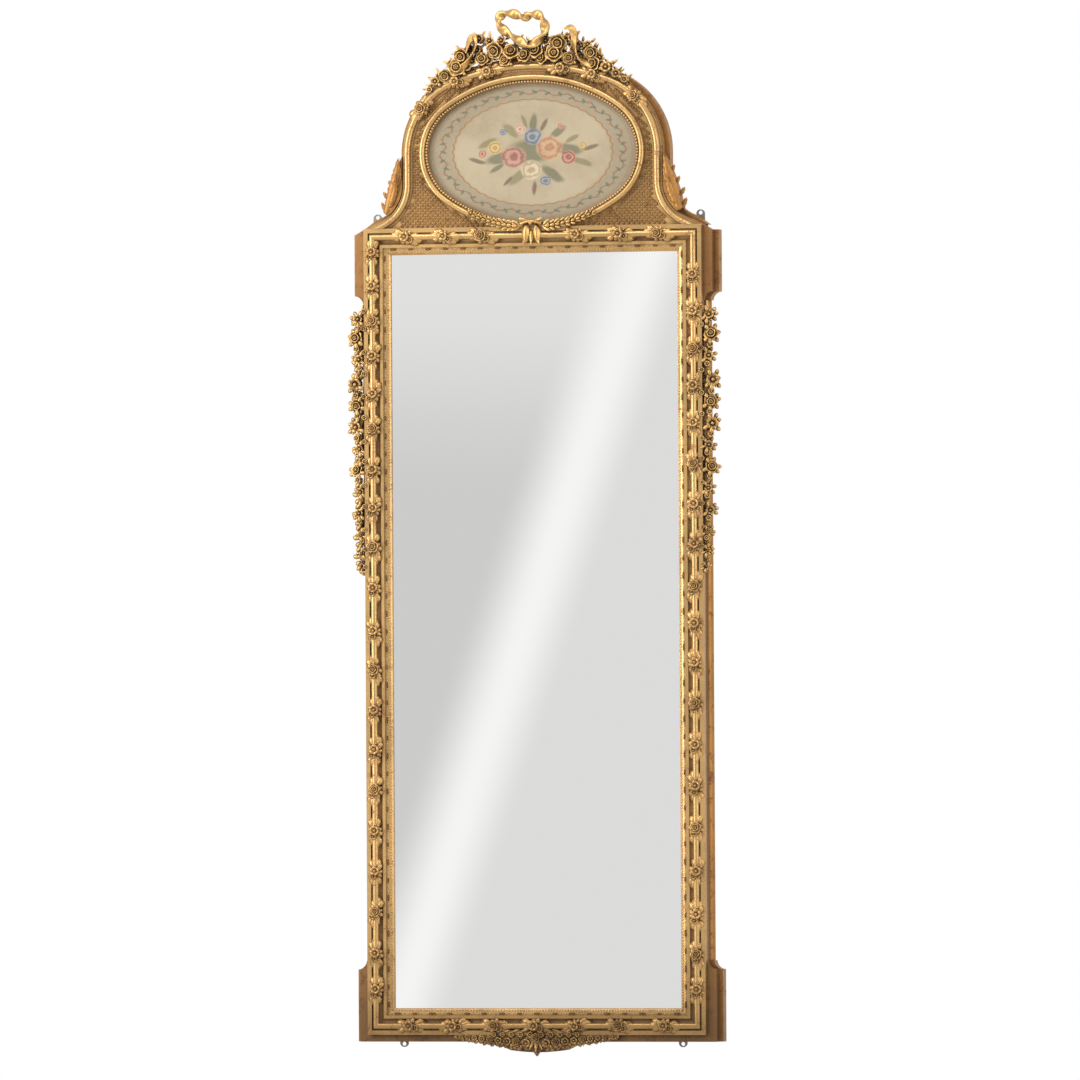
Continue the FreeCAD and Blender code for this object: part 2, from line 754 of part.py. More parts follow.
cornice = new_body()
front_pad(cornice, cornice_outline("(0 - cornice_out)", "cornice_in"), "0", "case_depth")
front_pad(cornice, cornice_outline("crest_set", "cornice_in"), "case_depth", NECK)
for side in (-1, 1):
    past_eye = f"({UPPER_PLATE_TOP} + plate_wide)"
    plate_recess(cornice, side, UPPER_PLATE_HALF, UPPER_PLATE_BOTTOM, past_eye, FRAME_TOP, past_eye)
    front_bores(cornice, upper_screws(side)[1:], PILOT, "0", "screw_long")
keep(cornice, "arch_cornice")

# The oval, drawn from four centres so that every line round it is parallel
OVAL_HALF_WIDE = f"({WAIST_HALF} - arch_outer - arch_band - oval_ring - oval_side_gap)"
OVAL_HALF_HIGH = "(crest_rise - arch_outer - arch_band - oval_ring - oval_top_gap)"
OVAL_END_X = f"({OVAL_HALF_WIDE} - oval_end_round)"
OVAL_SIDE_R = (
    f"(({OVAL_END_X}^2 + {OVAL_HALF_HIGH}^2 - oval_end_round^2)/(2*({OVAL_HALF_HIGH} - oval_end_round)))"
)
OVAL_SIN = f"({OVAL_END_X}/({OVAL_SIDE_R} - oval_end_round))"
OVAL_COS = f"(({OVAL_SIDE_R} - {OVAL_HALF_HIGH})/({OVAL_SIDE_R} - oval_end_round))"


def oval_points(out):
    """The oval from its right upper turn round to the left, set out by a distance."""
    end_r = f"(oval_end_round + {out})"
    x = f"({OVAL_END_X} + {end_r}*{OVAL_SIN})"
    rise = f"({end_r}*{OVAL_COS})"
    side_r = f"({OVAL_SIDE_R} + {out})"
    return [
        (x, f"{WAIST_HEIGHT} + {rise}", end_r),
        (f"-{x}", f"{WAIST_HEIGHT} + {rise}", side_r),
        (f"-{x}", f"{WAIST_HEIGHT} - {rise}", end_r),
        (x, f"{WAIST_HEIGHT} - {rise}", side_r),
    ]


def oval_halves(out):
    """The same oval as a path that starts at its top on the centre line and runs clockwise."""
    points = oval_points(out)
    top = f"{WAIST_HEIGHT} + {OVAL_HALF_HIGH} + {out}"
    return [
        ("0", top),
        points[0][:2] + (f"-{points[1][2]}",),
        points[3][:2] + (f"-{points[0][2]}",),
        points[2][:2] + (f"-{points[1][2]}",),
        points[1][:2] + (f"-{points[0][2]}",),
        ("0", top, f"-{points[1][2]}"),
    ]


def above_rail(piece):
    """Trims what would reach down past the top of the moulding frame."""
    wide = f"({FRAME_HALF} + case_reach + {SPARE})"
    low = f"({FRAME_TOP} - 2*arch_band - oval_ring)"
    front = f"{FRONT} + oval_ring_high + {SPARE}"
    front_cut(piece, oblong(f"-{wide}", wide, low, f"{FRAME_TOP} + seat_clear"), "0", front)


crest = new_body()
HOLE = "(oval_cover + oval_clear)"
front_pad(crest, crest_outline("crest_set"), NECK, FRONT, holes=[oval_points(HOLE)])
keep(crest, "crest_board")

canvas = new_body()
front_pad(canvas, oval_points("oval_cover"), f"({FRONT} - canvas_thick)", FRONT)
keep(canvas, "painted_canvas")
strainer = new_body()
opening = oval_points("(oval_cover - strainer_wide)")
front_pad(strainer, oval_points("oval_cover"), NECK, f"({FRONT} - canvas_thick)", holes=[opening])
keep(strainer, "canvas_strainer")
panel_board = new_body()
front_pad(panel_board, oval_points("panel_board_lap"), f"({NECK} - panel_board_thick)", NECK)
above_rail(panel_board)
keep(panel_board, "panel_backboard")


def pipe(body, path, profile):
    """A section on the centre plane, carried along a path on the front plane."""
    spine = new_sketch(body, "XZ_Plane")
    draw(spine, path, closed=False)
    cross = new_sketch(body, "YZ_Plane")
    draw(cross, profile)
    feature = body.newObject("PartDesign::AdditivePipe", "Pipe")
    feature.Profile = cross
    feature.Spine = (spine, [f"Edge{number + 1}" for number in range(len(path) - 1)])
    return feature


oval = new_body()
ring_low = f"{WAIST_HEIGHT} + {OVAL_HALF_HIGH}"
ring_side = f"({RING_LEVEL} - oval_ring_crown)"
ring_round = "(((oval_ring - oval_bead_wide)^2/4 + oval_ring_crown^2)/(2*oval_ring_crown))"
ring_profile = [
    (f"-{FRONT}", ring_low),
    (f"-{FRONT}", f"{ring_low} + oval_ring"),
    (f"-{ring_side}", f"{ring_low} + oval_ring"),
    (f"-{ring_side}", f"{ring_low} + oval_bead_wide", ring_round),
    (f"-({FRONT} + oval_bead_high)", f"{ring_low} + oval_bead_wide"),
    (f"-({FRONT} + oval_bead_high)", ring_low),
]
pipe(oval, oval_halves("0"), ring_profile)
above_rail(oval)
keep(oval, "oval_moulding")


# Reeds up both sides of the arch, meeting at the crown, and the grounds between them and the oval
def arch_half(inset, side):
    """Half the crest's edge: from the crown down the sweep and straight on to under the moulding's top."""
    x, z = shoulder_point(inset, side)
    waist = f"{side}*({WAIST_HALF} - {inset})"
    turn = f"({FRAME_TOP} + arch_reed_turn)"
    turn_x, turn_z = sweep_at(inset, turn)
    run = f"(arch_reed_turn + arch_band)*({SWEEP_TOP} - {turn})/{sweep_leg(inset, turn)}"
    return [
        ("0", f"({CREST_TOP} - {inset})"),
        (x, z, f"{-side}*({CROWN_R} - {inset})"),
        (waist, WAIST_HEIGHT, f"{-side}*(shoulder_round - {inset})"),
        (waist, SWEEP_TOP),
        (f"{side}*{turn_x}", turn_z, f"{side}*({SWEEP_R} + {inset})"),
        (f"{side}*({turn_x} + {run})", f"({FRAME_TOP} - arch_band)"),
    ]


for side in (-1, 1):
    reed = new_body()
    middle = "(arch_outer + arch_band/2)"
    low = f"({CREST_TOP} - arch_outer - arch_band)"
    base_level, top_level = f"{FRONT} + arch_base", f"{FRONT} + arch_reed_high - reed_crown"
    profile = [
        (f"-{FRONT}", low),
        (f"-{FRONT}", f"{low} + arch_band"),
        (f"-({base_level})", f"{low} + arch_band"),
        (f"-({base_level})", f"{CREST_TOP} - {middle} + reed_width/2"),
        (f"-({top_level})", f"{CREST_TOP} - {middle} + reed_width/2"),
        (f"-({top_level})", f"{CREST_TOP} - {middle} - reed_width/2", REED_R),
        (f"-({base_level})", f"{CREST_TOP} - {middle} - reed_width/2"),
        (f"-({base_level})", low),
    ]
    pipe(reed, arch_half(middle, side), profile)
    above_rail(reed)
    keep(reed, f"{side_name(side)}_arch_reed")

    ground = new_body()
    inset = "(arch_outer + arch_band)"
    edge = arch_half(inset, side)
    foot = f"({FRAME_TOP} - arch_band)"
    front_pad(ground, [("0", foot)] + edge, FRONT, f"({FRONT} + ground_thick)")
    above_rail(ground)
    front_cut(ground, oval_points("oval_ring"), FRONT, f"({FRONT} + ground_thick)")
    keep(ground, f"{side_name(side)}_spandrel_ground")

# The leaf on the outside of each sweep, in front of the cornice and against the crest board's edge
LEAF_IN = "(crest_set - seat_clear)"
for side in (-1, 1):
    leaf = new_body()
    top = (f"({WAIST_HALF} - {LEAF_IN})", f"({WAIST_HEIGHT} - crest_leaf_down)", "crest_leaf_round")
    low_x, low_z = sweep_at(LEAF_IN, f"({FRAME_TOP} + crest_leaf_rise)")
    outline = [
        top,
        (f"({WAIST_HALF} - {LEAF_IN})", SWEEP_TOP),
        (low_x, low_z, f"({SWEEP_R} + {LEAF_IN})"),
        (f"({low_x} + crest_leaf_wide)", f"({low_z} + crest_leaf_tip)"),
    ]
    front_pad(leaf, mirrored(side, outline), "(case_depth + seat_clear)", "crest_leaf_level")
    keep(leaf, f"{side_name(side)}_crest_leaf")

# The clasp at the foot of the oval: two upright lobes under a cap, with a point below
clasp = new_body()
CLASP_BOTTOM = f"({FRAME_TOP} - clasp_below)"
CLASP_TOP = f"({FRAME_TOP} + clasp_above)"
CLASP_FOOT = f"({CLASP_BOTTOM} + clasp_tip)"
sketch = new_sketch(clasp, "XY_Plane", CLASP_FOOT)
lobe_side = f"({ORNAMENT_SEAT} + clasp_side)"
lobe_crown = "(clasp_high - clasp_side)"
lobe_round = f"((clasp_half^2/4 + {lobe_crown}^2)/(2*{lobe_crown}))"
draw(sketch, [
    ("-clasp_half", f"-{ORNAMENT_SEAT}"),
    ("-clasp_half", f"-{lobe_side}"),
    ("0", f"-{lobe_side}", lobe_round),
    ("clasp_half", f"-{lobe_side}", lobe_round),
    ("clasp_half", f"-{ORNAMENT_SEAT}"),
])
extrude(clasp, sketch, f"{CLASP_TOP} - {CLASP_FOOT}")
tip = [("-clasp_half", CLASP_FOOT), ("0", CLASP_BOTTOM), ("clasp_half", CLASP_FOOT)]
front_pad(clasp, tip, ORNAMENT_SEAT, lobe_side)
CAP_HALF = "(clasp_half + clasp_cap_over)"
cap = oblong(f"-{CAP_HALF}", CAP_HALF, f"({CLASP_TOP} - clasp_cap)", CLASP_TOP)
front_pad(clasp, cap, ORNAMENT_SEAT, f"({ORNAMENT_SEAT} + clasp_high)")
keep(clasp, "oval_clasp")


# Laurel sprays on the lower edge of the oval, from the clasp outwards
def oval_low_z(x, out):
    """Height of the oval's lower edge at x, set out by a distance."""
    return f"({WAIST_HEIGHT} + {OVAL_SIDE_R} - {OVAL_HALF_HIGH} - sqrt(({OVAL_SIDE_R} + {out})^2 - ({x})^2))"


for side in (-1, 1):
    laurel = new_body()
    last = "(laurel_in + laurel_wide/2)"
    leaf = [
        ("laurel_start", oval_low_z("laurel_start", "(laurel_in + laurel_wide)")),
        ("laurel_end", oval_low_z("laurel_end", last), f"({OVAL_SIDE_R} + laurel_wide)"),
        ("laurel_start", oval_low_z("laurel_start", "laurel_in"), f"-({OVAL_SIDE_R} + laurel_in)"),
    ]
    front_pad(laurel, mirrored(side, leaf), ORNAMENT_SEAT, f"({ORNAMENT_SEAT} + laurel_high)")
    keep(laurel, f"{side_name(side)}_laurel")

# The bow over the crest: one band of ribbon bent to an open heart
def heart(edge, out):
    """The heart's outline at one edge of the ribbon, set out by a distance: round lobes, straight flanks."""
    widest = f"({CREST_TOP} + {edge}_widest)"
    return [
        ("bow_centre", f"({CREST_TOP} + {edge}_bottom - 2*{out})"),
        (f"(bow_centre + {edge}_half + {out})", widest),
        ("bow_centre", f"({CREST_TOP} + {edge}_top + {out})", f"({edge}_lobe + {out})"),
        (f"(bow_centre - {edge}_half - {out})", widest, f"({edge}_lobe + {out})"),
    ]


def ribbon(clear):
    """The bow's band, or the room that it needs with a clearance all round."""
    band = new_body()
    hole = heart("bow_hole", f"(0 - {clear})")
    band_back = f"(bow_level - {clear})"
    band_front = f"(bow_level + bow_thick + {clear})"
    front_pad(band, heart("bow", clear), band_back, band_front, holes=[hole])
    return band


keep(ribbon("0"), "crest_bow")


# Carved flowers. Each bloom is a ball at a distance along the crest and up from its edge, all in bloom
# units, of
# which the crest's waist holds bloom_share on each side.
BLOOM = f"({WAIST_HALF}/bloom_share)"
def crest_z(x):
    """Height of the crown's edge at a distance from the centre line."""
    return f"({CREST_TOP} - {CROWN_R} + sqrt({CROWN_R}^2 - ({x})^2))"


BLOOMS = {
    "crest_flowers": [
        (-8.4, 3, 2.4), (-4.6, 2, 2.2), (-1.4, 1, 2), (1.4, 2, 2.2), (5.6, 1.6, 2.4), (6.6, 4.2, 2.4),
        (-12.2, 6.4, 1.4), (-12.8, 4, 1.5), (-11.6, 1.6, 1.8),
        (10, 5.8, 1.4), (10.4, 3.4, 1.5), (9.2, 1, 1.8),
        (2.8, 0.4, 1.8), (-6, 0.4, 1.8),
    ],
    "left_crest_spray": [
        (-16.4, 3.8, 2.2), (-17.6, 1.4, 2.4), (-20.4, 0.8, 1.8), (-22.8, 0.6, 1.4), (-24.2, -0.6, 1),
    ],
    "right_crest_spray": [(14.4, 3.4, 1.9), (15, 1, 2), (17.8, 1, 1.7), (20.2, 0.5, 1.4), (22.2, 0, 1.1)],
}

def cluster(blooms, clear):
    balls = []
    for x, rise, radius in blooms:
        along = f"({x}*{BLOOM})"
        up = f"{crest_z(along)} + {rise}*{BLOOM}"
        balls.append(ball(along, "bloom_level", up, f"{radius}*{BLOOM} + {clear}"))
    return joined(balls)


seat = new_body()
front_pad(seat, crest_outline("(0 - cornice_out - seat_clear)"), "0", "(case_depth + seat_clear)")
front_pad(seat, crest_outline("(crest_set - seat_clear)"), "case_depth", f"({FRONT} + seat_clear)")
front_pad(seat, crest_outline("(arch_outer - seat_clear)"), FRONT, f"({FRONT} + arch_reed_high + seat_clear)")
taken = [seat, ribbon("seat_clear")]
for label, blooms in BLOOMS.items():
    keep(lessened(cluster(blooms, "0"), joined(list(taken))), label)
    taken.append(cluster(blooms, "seat_clear"))


# The garlands: a stem down each stile's edge below the ear, with blooms along it. A bloom has its share of
# the way
# down, its distance out from the stile and its radius, both in bloom units.
GARLAND = [
    (0.03, 0.3, 1.5), (0.1, 0.6, 1.8), (0.18, 0.2, 1.4), (0.27, 0.8, 1.9), (0.35, 0.5, 1.7), (0.43, 0.7, 1.8),
    (0.51, 0.2, 1.3), (0.59, 0.6, 1.6), (0.67, 0.2, 1.2), (0.75, 0.5, 1.3), (0.83, 0.2, 1), (0.9, 0.3, 0.85),
    (0.96, 0.1, 0.6),
]
GARLAND_EDGE = f"({FRAME_HALF} + seat_clear)"
HALF_TURN = 180
for side in (-1, 1):
    x_low, x_high = GARLAND_EDGE, f"({GARLAND_EDGE} + garland_stem)"
    if side < 0:
        x_low, x_high = f"-{x_high}", f"-{x_low}"
    levels = ("(garland_level - garland_stem/2)", "(garland_level + garland_stem/2)")
    top = f"({EAR_BOTTOM} - seat_clear)"
    stem = box(x_low, x_high, *levels, f"({EAR_BOTTOM} - garland_long)", top)
    balls = []
    for share, out, radius in GARLAND:
        z = f"({top} - {GARLAND[0][2]}*{BLOOM} - {share}*garland_long)"
        x = f"{side}*({GARLAND_EDGE} + ({radius} + {out})*{BLOOM})"
        balls.append(ball(x, "garland_level", z, f"{radius}*{BLOOM}", 0 if side > 0 else HALF_TURN))
    keep(joined([stem] + balls), f"{side_name(side)}_garland")

# The apron below the base board, and the carved band and drop over both
apron = new_body()
front_pad(apron, [
    ("apron_half", "0", "-apron_ogee"),
    ("-apron_half", "0"),
    ("-apron_flat_half", "-apron_drop", "-apron_ogee"),
    ("apron_flat_half", "-apron_drop", "apron_round"),
], "apron_back", FRONT)
keep(apron, "apron")

carving = new_body()
front_pad(carving, [
    ("carving_half", f"({FRAME_BOTTOM} - seat_clear)"),
    ("-carving_half", f"({FRAME_BOTTOM} - seat_clear)"),
    ("-carving_half", f"({FRAME_BOTTOM} - carving_edge)"),
    ("-apron_flat_half", "-(apron_drop - carving_edge/2)", "-apron_round"),
    ("-pendant_half", "-apron_drop"),
    ("0", "-pendant_drop"),
    ("pendant_half", "-apron_drop"),
    ("apron_flat_half", "-(apron_drop - carving_edge/2)"),
    ("carving_half", f"({FRAME_BOTTOM} - carving_edge)", "-apron_round"),
], f"({FRONT} + seat_clear)", f"({FRONT} + seat_clear + carving_high)")
keep(carving, "apron_carving")


# Steel wall plates let in flush at the back, each with an eye that stands past the frame for the wall screw
def wall_plate(name, side, half, foot, eye, spots):
    """foot is the plate's square end and eye the centre of its hole; spots are its own two screws."""
    body = new_body()
    up = 1 if name == "upper" else -1
    left, right = f"({side}*{half} - plate_wide/2)", f"({side}*{half} + plate_wide/2)"
    cap = (left, eye, f"{up}*plate_eye_round")
    front_pad(body, [(left, foot), (right, foot), (right, eye), cap], "0", "plate_thick")
    front_bores(body, [(f"{side}*{half}", eye)], "(plate_eye_wide/2)", "0", "plate_thick")
    front_bores(body, spots, PILOT, "0", "plate_thick")
    front_bores(body, spots, HEAD_HOLE, "0", "screw_head_high")
    return keep(body, f"{name}_{side_name(side)}_wall_plate")


for side in (-1, 1):
    wall_plate("upper", side, UPPER_PLATE_HALF, UPPER_PLATE_BOTTOM, UPPER_PLATE_TOP, upper_screws(side))
    wall_plate("lower", side, LOWER_PLATE_HALF, "lower_plate_top", LOWER_PLATE_BOTTOM, lower_screws(side))

plate_spots = [spot for side in (-1, 1) for spot in upper_screws(side) + lower_screws(side)]
group("wall_plate_screws", [screw(x, z, "0") for x, z in plate_spots])
board_spots = [spot for number in range(BOARDS) for spot in board_screw_spots(number)]
group("backboard_screws", [screw(x, z, "(board_rebate - board_thick)") for x, z in board_spots])

doc.recompute()
faults = [thing.Name for thing in doc.Objects if {"Invalid", "Error"} & set(thing.State)]
faults += [node.Label for node in nodes if node.Shape.isNull() or not node.Shape.isValid()]
if faults:
    raise RuntimeError(f"not sound: {faults}")

os.makedirs("parts", exist_ok=True)
for node in nodes:
    node.Shape.exportStep(f"parts/{node.Label}.step")
    bounds = node.Shape.BoundBox
    limits = (bounds.XMin, bounds.XMax, bounds.YMin, bounds.YMax, bounds.ZMin, bounds.ZMax)
    reach = [round(number) for number in limits]
    print(node.Label, len(node.Shape.Solids), "solids,", round(node.Shape.Volume / 1000), "ml", reach)
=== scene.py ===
import math
import random

import bmesh
import bpy
from mathutils import Matrix, Vector


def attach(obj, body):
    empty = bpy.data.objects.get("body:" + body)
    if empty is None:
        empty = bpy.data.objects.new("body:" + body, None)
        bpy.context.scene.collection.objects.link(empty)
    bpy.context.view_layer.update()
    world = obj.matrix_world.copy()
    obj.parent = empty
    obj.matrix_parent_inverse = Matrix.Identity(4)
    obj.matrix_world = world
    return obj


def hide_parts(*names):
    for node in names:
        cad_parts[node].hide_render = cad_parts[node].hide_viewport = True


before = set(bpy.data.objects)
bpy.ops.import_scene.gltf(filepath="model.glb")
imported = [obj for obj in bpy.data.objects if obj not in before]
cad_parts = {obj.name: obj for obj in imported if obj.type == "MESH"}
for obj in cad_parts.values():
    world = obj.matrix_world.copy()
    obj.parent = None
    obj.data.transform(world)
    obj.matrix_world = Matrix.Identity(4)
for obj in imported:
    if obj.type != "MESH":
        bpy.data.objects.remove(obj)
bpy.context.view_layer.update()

# A carved and gilded trumeau mirror. Forms are modelled in millimetres, lying with +x to the right, +y up
# and +z out of the wall, and stamped onto the frame in metres. A level is a distance out from the wall.
MM = 0.001
# The sight edge of the glass: half its width, half its height and the height of its middle
SIGHT_WIDE, SIGHT_HIGH, SIGHT_Z = 341, 868, 945
# The crest's edge: half the waist, then the arcs of the crown, of the shoulders and of the sweeps
WAIST, WAIST_Z = 312, 2045
CROWN_R, CROWN_Z, CROWN_TURN = 525, 1733, math.asin(0.364)
SHOULDER_R, SHOULDER_X = 190, 122
SWEEP_R, SWEEP_X, SWEEP_Z = 90.3, 402.3, 1975
# The painted oval: an arc round each end and a flatter one along the top and the bottom
OVAL_END, OVAL_END_R, OVAL_DOWN, OVAL_SIDE_R = 130, 118, 182.9, 342.4
chance = random.Random(7)


# ---------------------------------------------------------------- materials
class Value:
    """A number or vector in a material, so that its sums are written as plain expressions."""

    def __init__(self, finish, link):
        self.finish, self.link = finish, link

    def maths(self, operation, *others):
        """The operation on this value and the others, in that order."""
        return self.finish.add("ShaderNodeMath", {"operation": operation}, dict(enumerate((self, *others))))

    def __add__(self, other):
        return self.maths("ADD", other)

    def __sub__(self, other):
        return self.maths("SUBTRACT", other)

    def __rsub__(self, other):
        return self.finish.add("ShaderNodeMath", {"operation": "SUBTRACT"}, {0: other, 1: self})

    def __mul__(self, other):
        return self.maths("MULTIPLY", other)

    def __truediv__(self, other):
        return self.maths("DIVIDE", other)

    __radd__, __rmul__ = __add__, __mul__

    def least(self, other):
        return self.maths("MINIMUM", other)

    def most(self, other):
        return self.maths("MAXIMUM", other)

    def size(self):
        return self.maths("ABSOLUTE")

    def root(self):
        return self.maths("POWER", 0.5)

    def step(self, low, high):
        """0 below low, 1 above high and smooth between; the other way round where high is less than low."""
        settings = {"interpolation_type": "SMOOTHSTEP", "clamp": True}
        ends = (low, high, 0.0, 1.0) if low < high else (high, low, 1.0, 0.0)
        return self.finish.add("ShaderNodeMapRange", settings, dict(enumerate((self, *ends))))


class Finish:
    """The nodes of a material or of the world."""

    def __init__(self, owner):
        owner.use_nodes = True
        self.owner, self.tree = owner, owner.node_tree
        self.tree.nodes.clear()

    def node(self, kind, settings, inputs):
        made = self.tree.nodes.new(kind)
        for setting, value in settings.items():
            setattr(made, setting, value)
        for socket, value in inputs.items():
            if isinstance(value, Value):
                self.tree.links.new(value.link, made.inputs[socket])
            else:
                made.inputs[socket].default_value = value
        return made

    def add(self, kind, settings=None, inputs=None, output=0):
        return Value(self, self.node(kind, settings or {}, inputs or {}).outputs[output])

    def place(self):
        return self.add("ShaderNodeTexCoord", output="Object")

    def axes(self, vector):
        made = self.node("ShaderNodeSeparateXYZ", {}, {0: vector})
        return [Value(self, made.outputs[number]) for number in range(3)]

    def stretch(self, vector, scale):
        return self.add("ShaderNodeMapping", {}, {"Vector": vector, "Scale": scale})

    def noise(self, vector, scale, detail=3.0, rough=0.5, twist=0.0):
        inputs = {"Vector": vector, "Scale": scale, "Detail": detail, "Roughness": rough, "Distortion": twist}
        return self.add("ShaderNodeTexNoise", {}, inputs)

    def cells(self, vector, scale, feature="F1"):
        return self.add("ShaderNodeTexVoronoi", {"feature": feature}, {"Vector": vector, "Scale": scale})

    def blend(self, share, first, second):
        return self.add("ShaderNodeMix", {"data_type": "RGBA"}, {0: share, 6: first, 7: second}, 2)

    def hollows(self, reach):
        """1 on open faces and less in hollows."""
        return self.add("ShaderNodeAmbientOcclusion", {"samples": 8}, {"Distance": reach}, "AO")

    def bump(self, height, depth, strength=1.0, under=None):
        inputs = {"Height": height, "Distance": depth, "Strength": strength}
        if under is not None:
            inputs["Normal"] = under
        return self.add("ShaderNodeBump", {}, inputs)

    def close(self, **sockets):
        named = {name.replace("_", " "): value for name, value in sockets.items()}
        shader = self.add("ShaderNodeBsdfPrincipled", {}, named)
        self.node("ShaderNodeOutputMaterial", {}, {"Surface": shader})
        return self.owner


def new_finish(name):
    return Finish(bpy.data.materials.new(name))


def paint(red, green, blue):
    """A colour as the eye reads it, 0 to 255, made linear."""
    parts = [part / 255 for part in (red, green, blue)]
    return (*[part / 12.92 if part <= 0.04045 else ((part + 0.055) / 1.055) ** 2.4 for part in parts], 1.0)


def dimmed(colour, share):
    return (*[part * share for part in colour[:3]], 1.0)


def gilded(name, leaf, shade, bole, metal=0.86, rough=0.34, reach=0.012, depth=0.55, wear=0.5, laps=True):
    """Gold leaf over red-brown clay: painted shade and umber patina in the hollows, painted shade
    towards the foot, thin in patches, lined where the leaves lap, and bare wood at the back."""
    finish = new_finish(name)
    place = finish.place()
    x, _, z = finish.axes(place)
    cloudy = finish.noise(place, 9.0, 4.0, 0.6)
    speckle = finish.noise(place, 210.0, 5.0, 0.65)
    patchy = finish.noise(place, 34.0, 5.0, 0.62, 0.4)
    brushed = finish.noise(finish.stretch(place, (1.0, 1.0, 0.22)), 420.0, 3.0, 0.6)
    open_face = finish.hollows(reach).step(0.42, 0.97)
    worn = (patchy * 0.7 + speckle * 0.5).step(0.66 - 0.06 * wear, 0.80 - 0.06 * wear)
    gold = finish.blend(cloudy.step(0.35, 0.68), leaf, dimmed(leaf, 0.80))
    gold = finish.blend(worn * 0.75, gold, bole)
    if laps:
        lap = (z + x * 0.06 + cloudy * 0.012).maths("PINGPONG", 0.041)
        gold = finish.blend(lap.step(0.0012, 0.0) * patchy.step(0.4, 0.6) * 0.55, gold, bole)
    # Painted shade, with umber patina: the hollows darken towards the shade colour
    colour = finish.blend((1 - open_face) * depth * (0.75 + cloudy * 0.5), gold, shade)
    # Painted shade: the colour darkens towards the foot of the frame
    foot = z.step(0.30, -0.02)
    colour = finish.blend(foot * (0.30 + patchy * 0.30), colour, shade)
    bare = finish.axes(finish.add("ShaderNodeNewGeometry", output="Normal"))[1].step(0.80, 0.90)
    dusty = finish.blend(brushed.step(0.3, 0.7), paint(140, 106, 70), paint(104, 74, 46))
    colour = finish.blend(bare, colour, dusty)
    normal = finish.bump(brushed, 0.0004, 0.35)
    normal = finish.bump(speckle * 0.5 + patchy, 0.0009, 0.4, normal)
    return finish.close(
        Base_Color=colour,
        Metallic=(0.25 + open_face * 0.75) * (1 - worn * 0.5) * (1 - bare) * metal,
        Roughness=rough + speckle * 0.10 + worn * 0.16 + (1 - open_face) * 0.12 + bare * 0.35,
        Normal=normal,
    )


def old_wood(name, light, dark, along):
    """Bare old softwood, grain along x or z, saw marks across it and painted shade in the hollows."""
    finish = new_finish(name)
    place = finish.place()
    grain = {"x": (2.2, 40.0, 40.0), "z": (40.0, 40.0, 2.2)}[along]
    saw = {"x": (260.0, 4.0, 4.0), "z": (4.0, 4.0, 260.0)}[along]
    rings = finish.noise(finish.stretch(place, grain), 1.6, 5.0, 0.6, 1.4)
    fibre = finish.noise(finish.stretch(place, tuple(part * 9 for part in grain)), 1.5, 3.0, 0.6)
    sawn = finish.noise(finish.stretch(place, saw), 1.0, 2.0, 0.5)
    stain = finish.noise(place, 5.0, 4.0, 0.6)
    colour = finish.blend(rings.step(0.3, 0.72), light, dark)
    colour = finish.blend(fibre.step(0.45, 0.75) * 0.4, colour, dimmed(dark, 0.45))
    colour = finish.blend(stain.step(0.5, 0.75) * 0.45, colour, dimmed(light, 0.6))
    # Painted shade: the hollows are darkened to a deep brown
    colour = finish.blend((1 - finish.hollows(0.03)) * 0.7, colour, paint(44, 32, 22))
    normal = finish.bump(sawn * 0.6 + fibre, 0.0008, 0.5)
    return finish.close(Base_Color=colour, Roughness=0.72 + fibre * 0.2, Normal=normal)


def mirror_finish():
    """Silvered plate glass, a little tarnished where it meets the slip."""
    finish = new_finish("silvered_plate")
    place = finish.place()
    x, _, z = finish.axes(place)
    past = 8.5
    side_edge = (SIGHT_WIDE + past) * MM - x.size()
    end_edge = (SIGHT_HIGH + past) * MM - (z - SIGHT_Z * MM).size()
    mottled = finish.noise(place, 26.0, 6.0, 0.7)
    tarnish = (side_edge.least(end_edge) * -22.0 + mottled).step(0.36, 0.75)
    specks = finish.cells(place, 90.0).step(0.05, 0.02) * mottled.step(0.55, 0.7)
    dull = (tarnish * 0.5 + specks * 0.5).least(0.7)
    colour = finish.blend(dull, (0.94, 0.935, 0.93, 1.0), (0.34, 0.33, 0.30, 1.0))
    return finish.close(Base_Color=colour, Metallic=1.0, Roughness=0.008 + dull * 0.25)


def steel_finish():
    """Filed steel with patches of rust."""
    finish = new_finish("dull_steel")
    place = finish.place()
    filed = finish.noise(finish.stretch(place, (60.0, 60.0, 900.0)), 1.0, 3.0, 0.6)
    rust = finish.noise(place, 120.0, 5.0, 0.7).step(0.52, 0.68)
    colour = finish.blend(rust * 0.7, paint(150, 148, 144), paint(112, 72, 44))
    colour = finish.blend(filed * 0.35, colour, paint(88, 86, 84))
    return finish.close(
        Base_Color=colour, Metallic=1 - rust * 0.8, Roughness=0.38 + rust * 0.4 + filed * 0.12,
        Normal=finish.bump(filed, 0.0004, 0.4),
    )


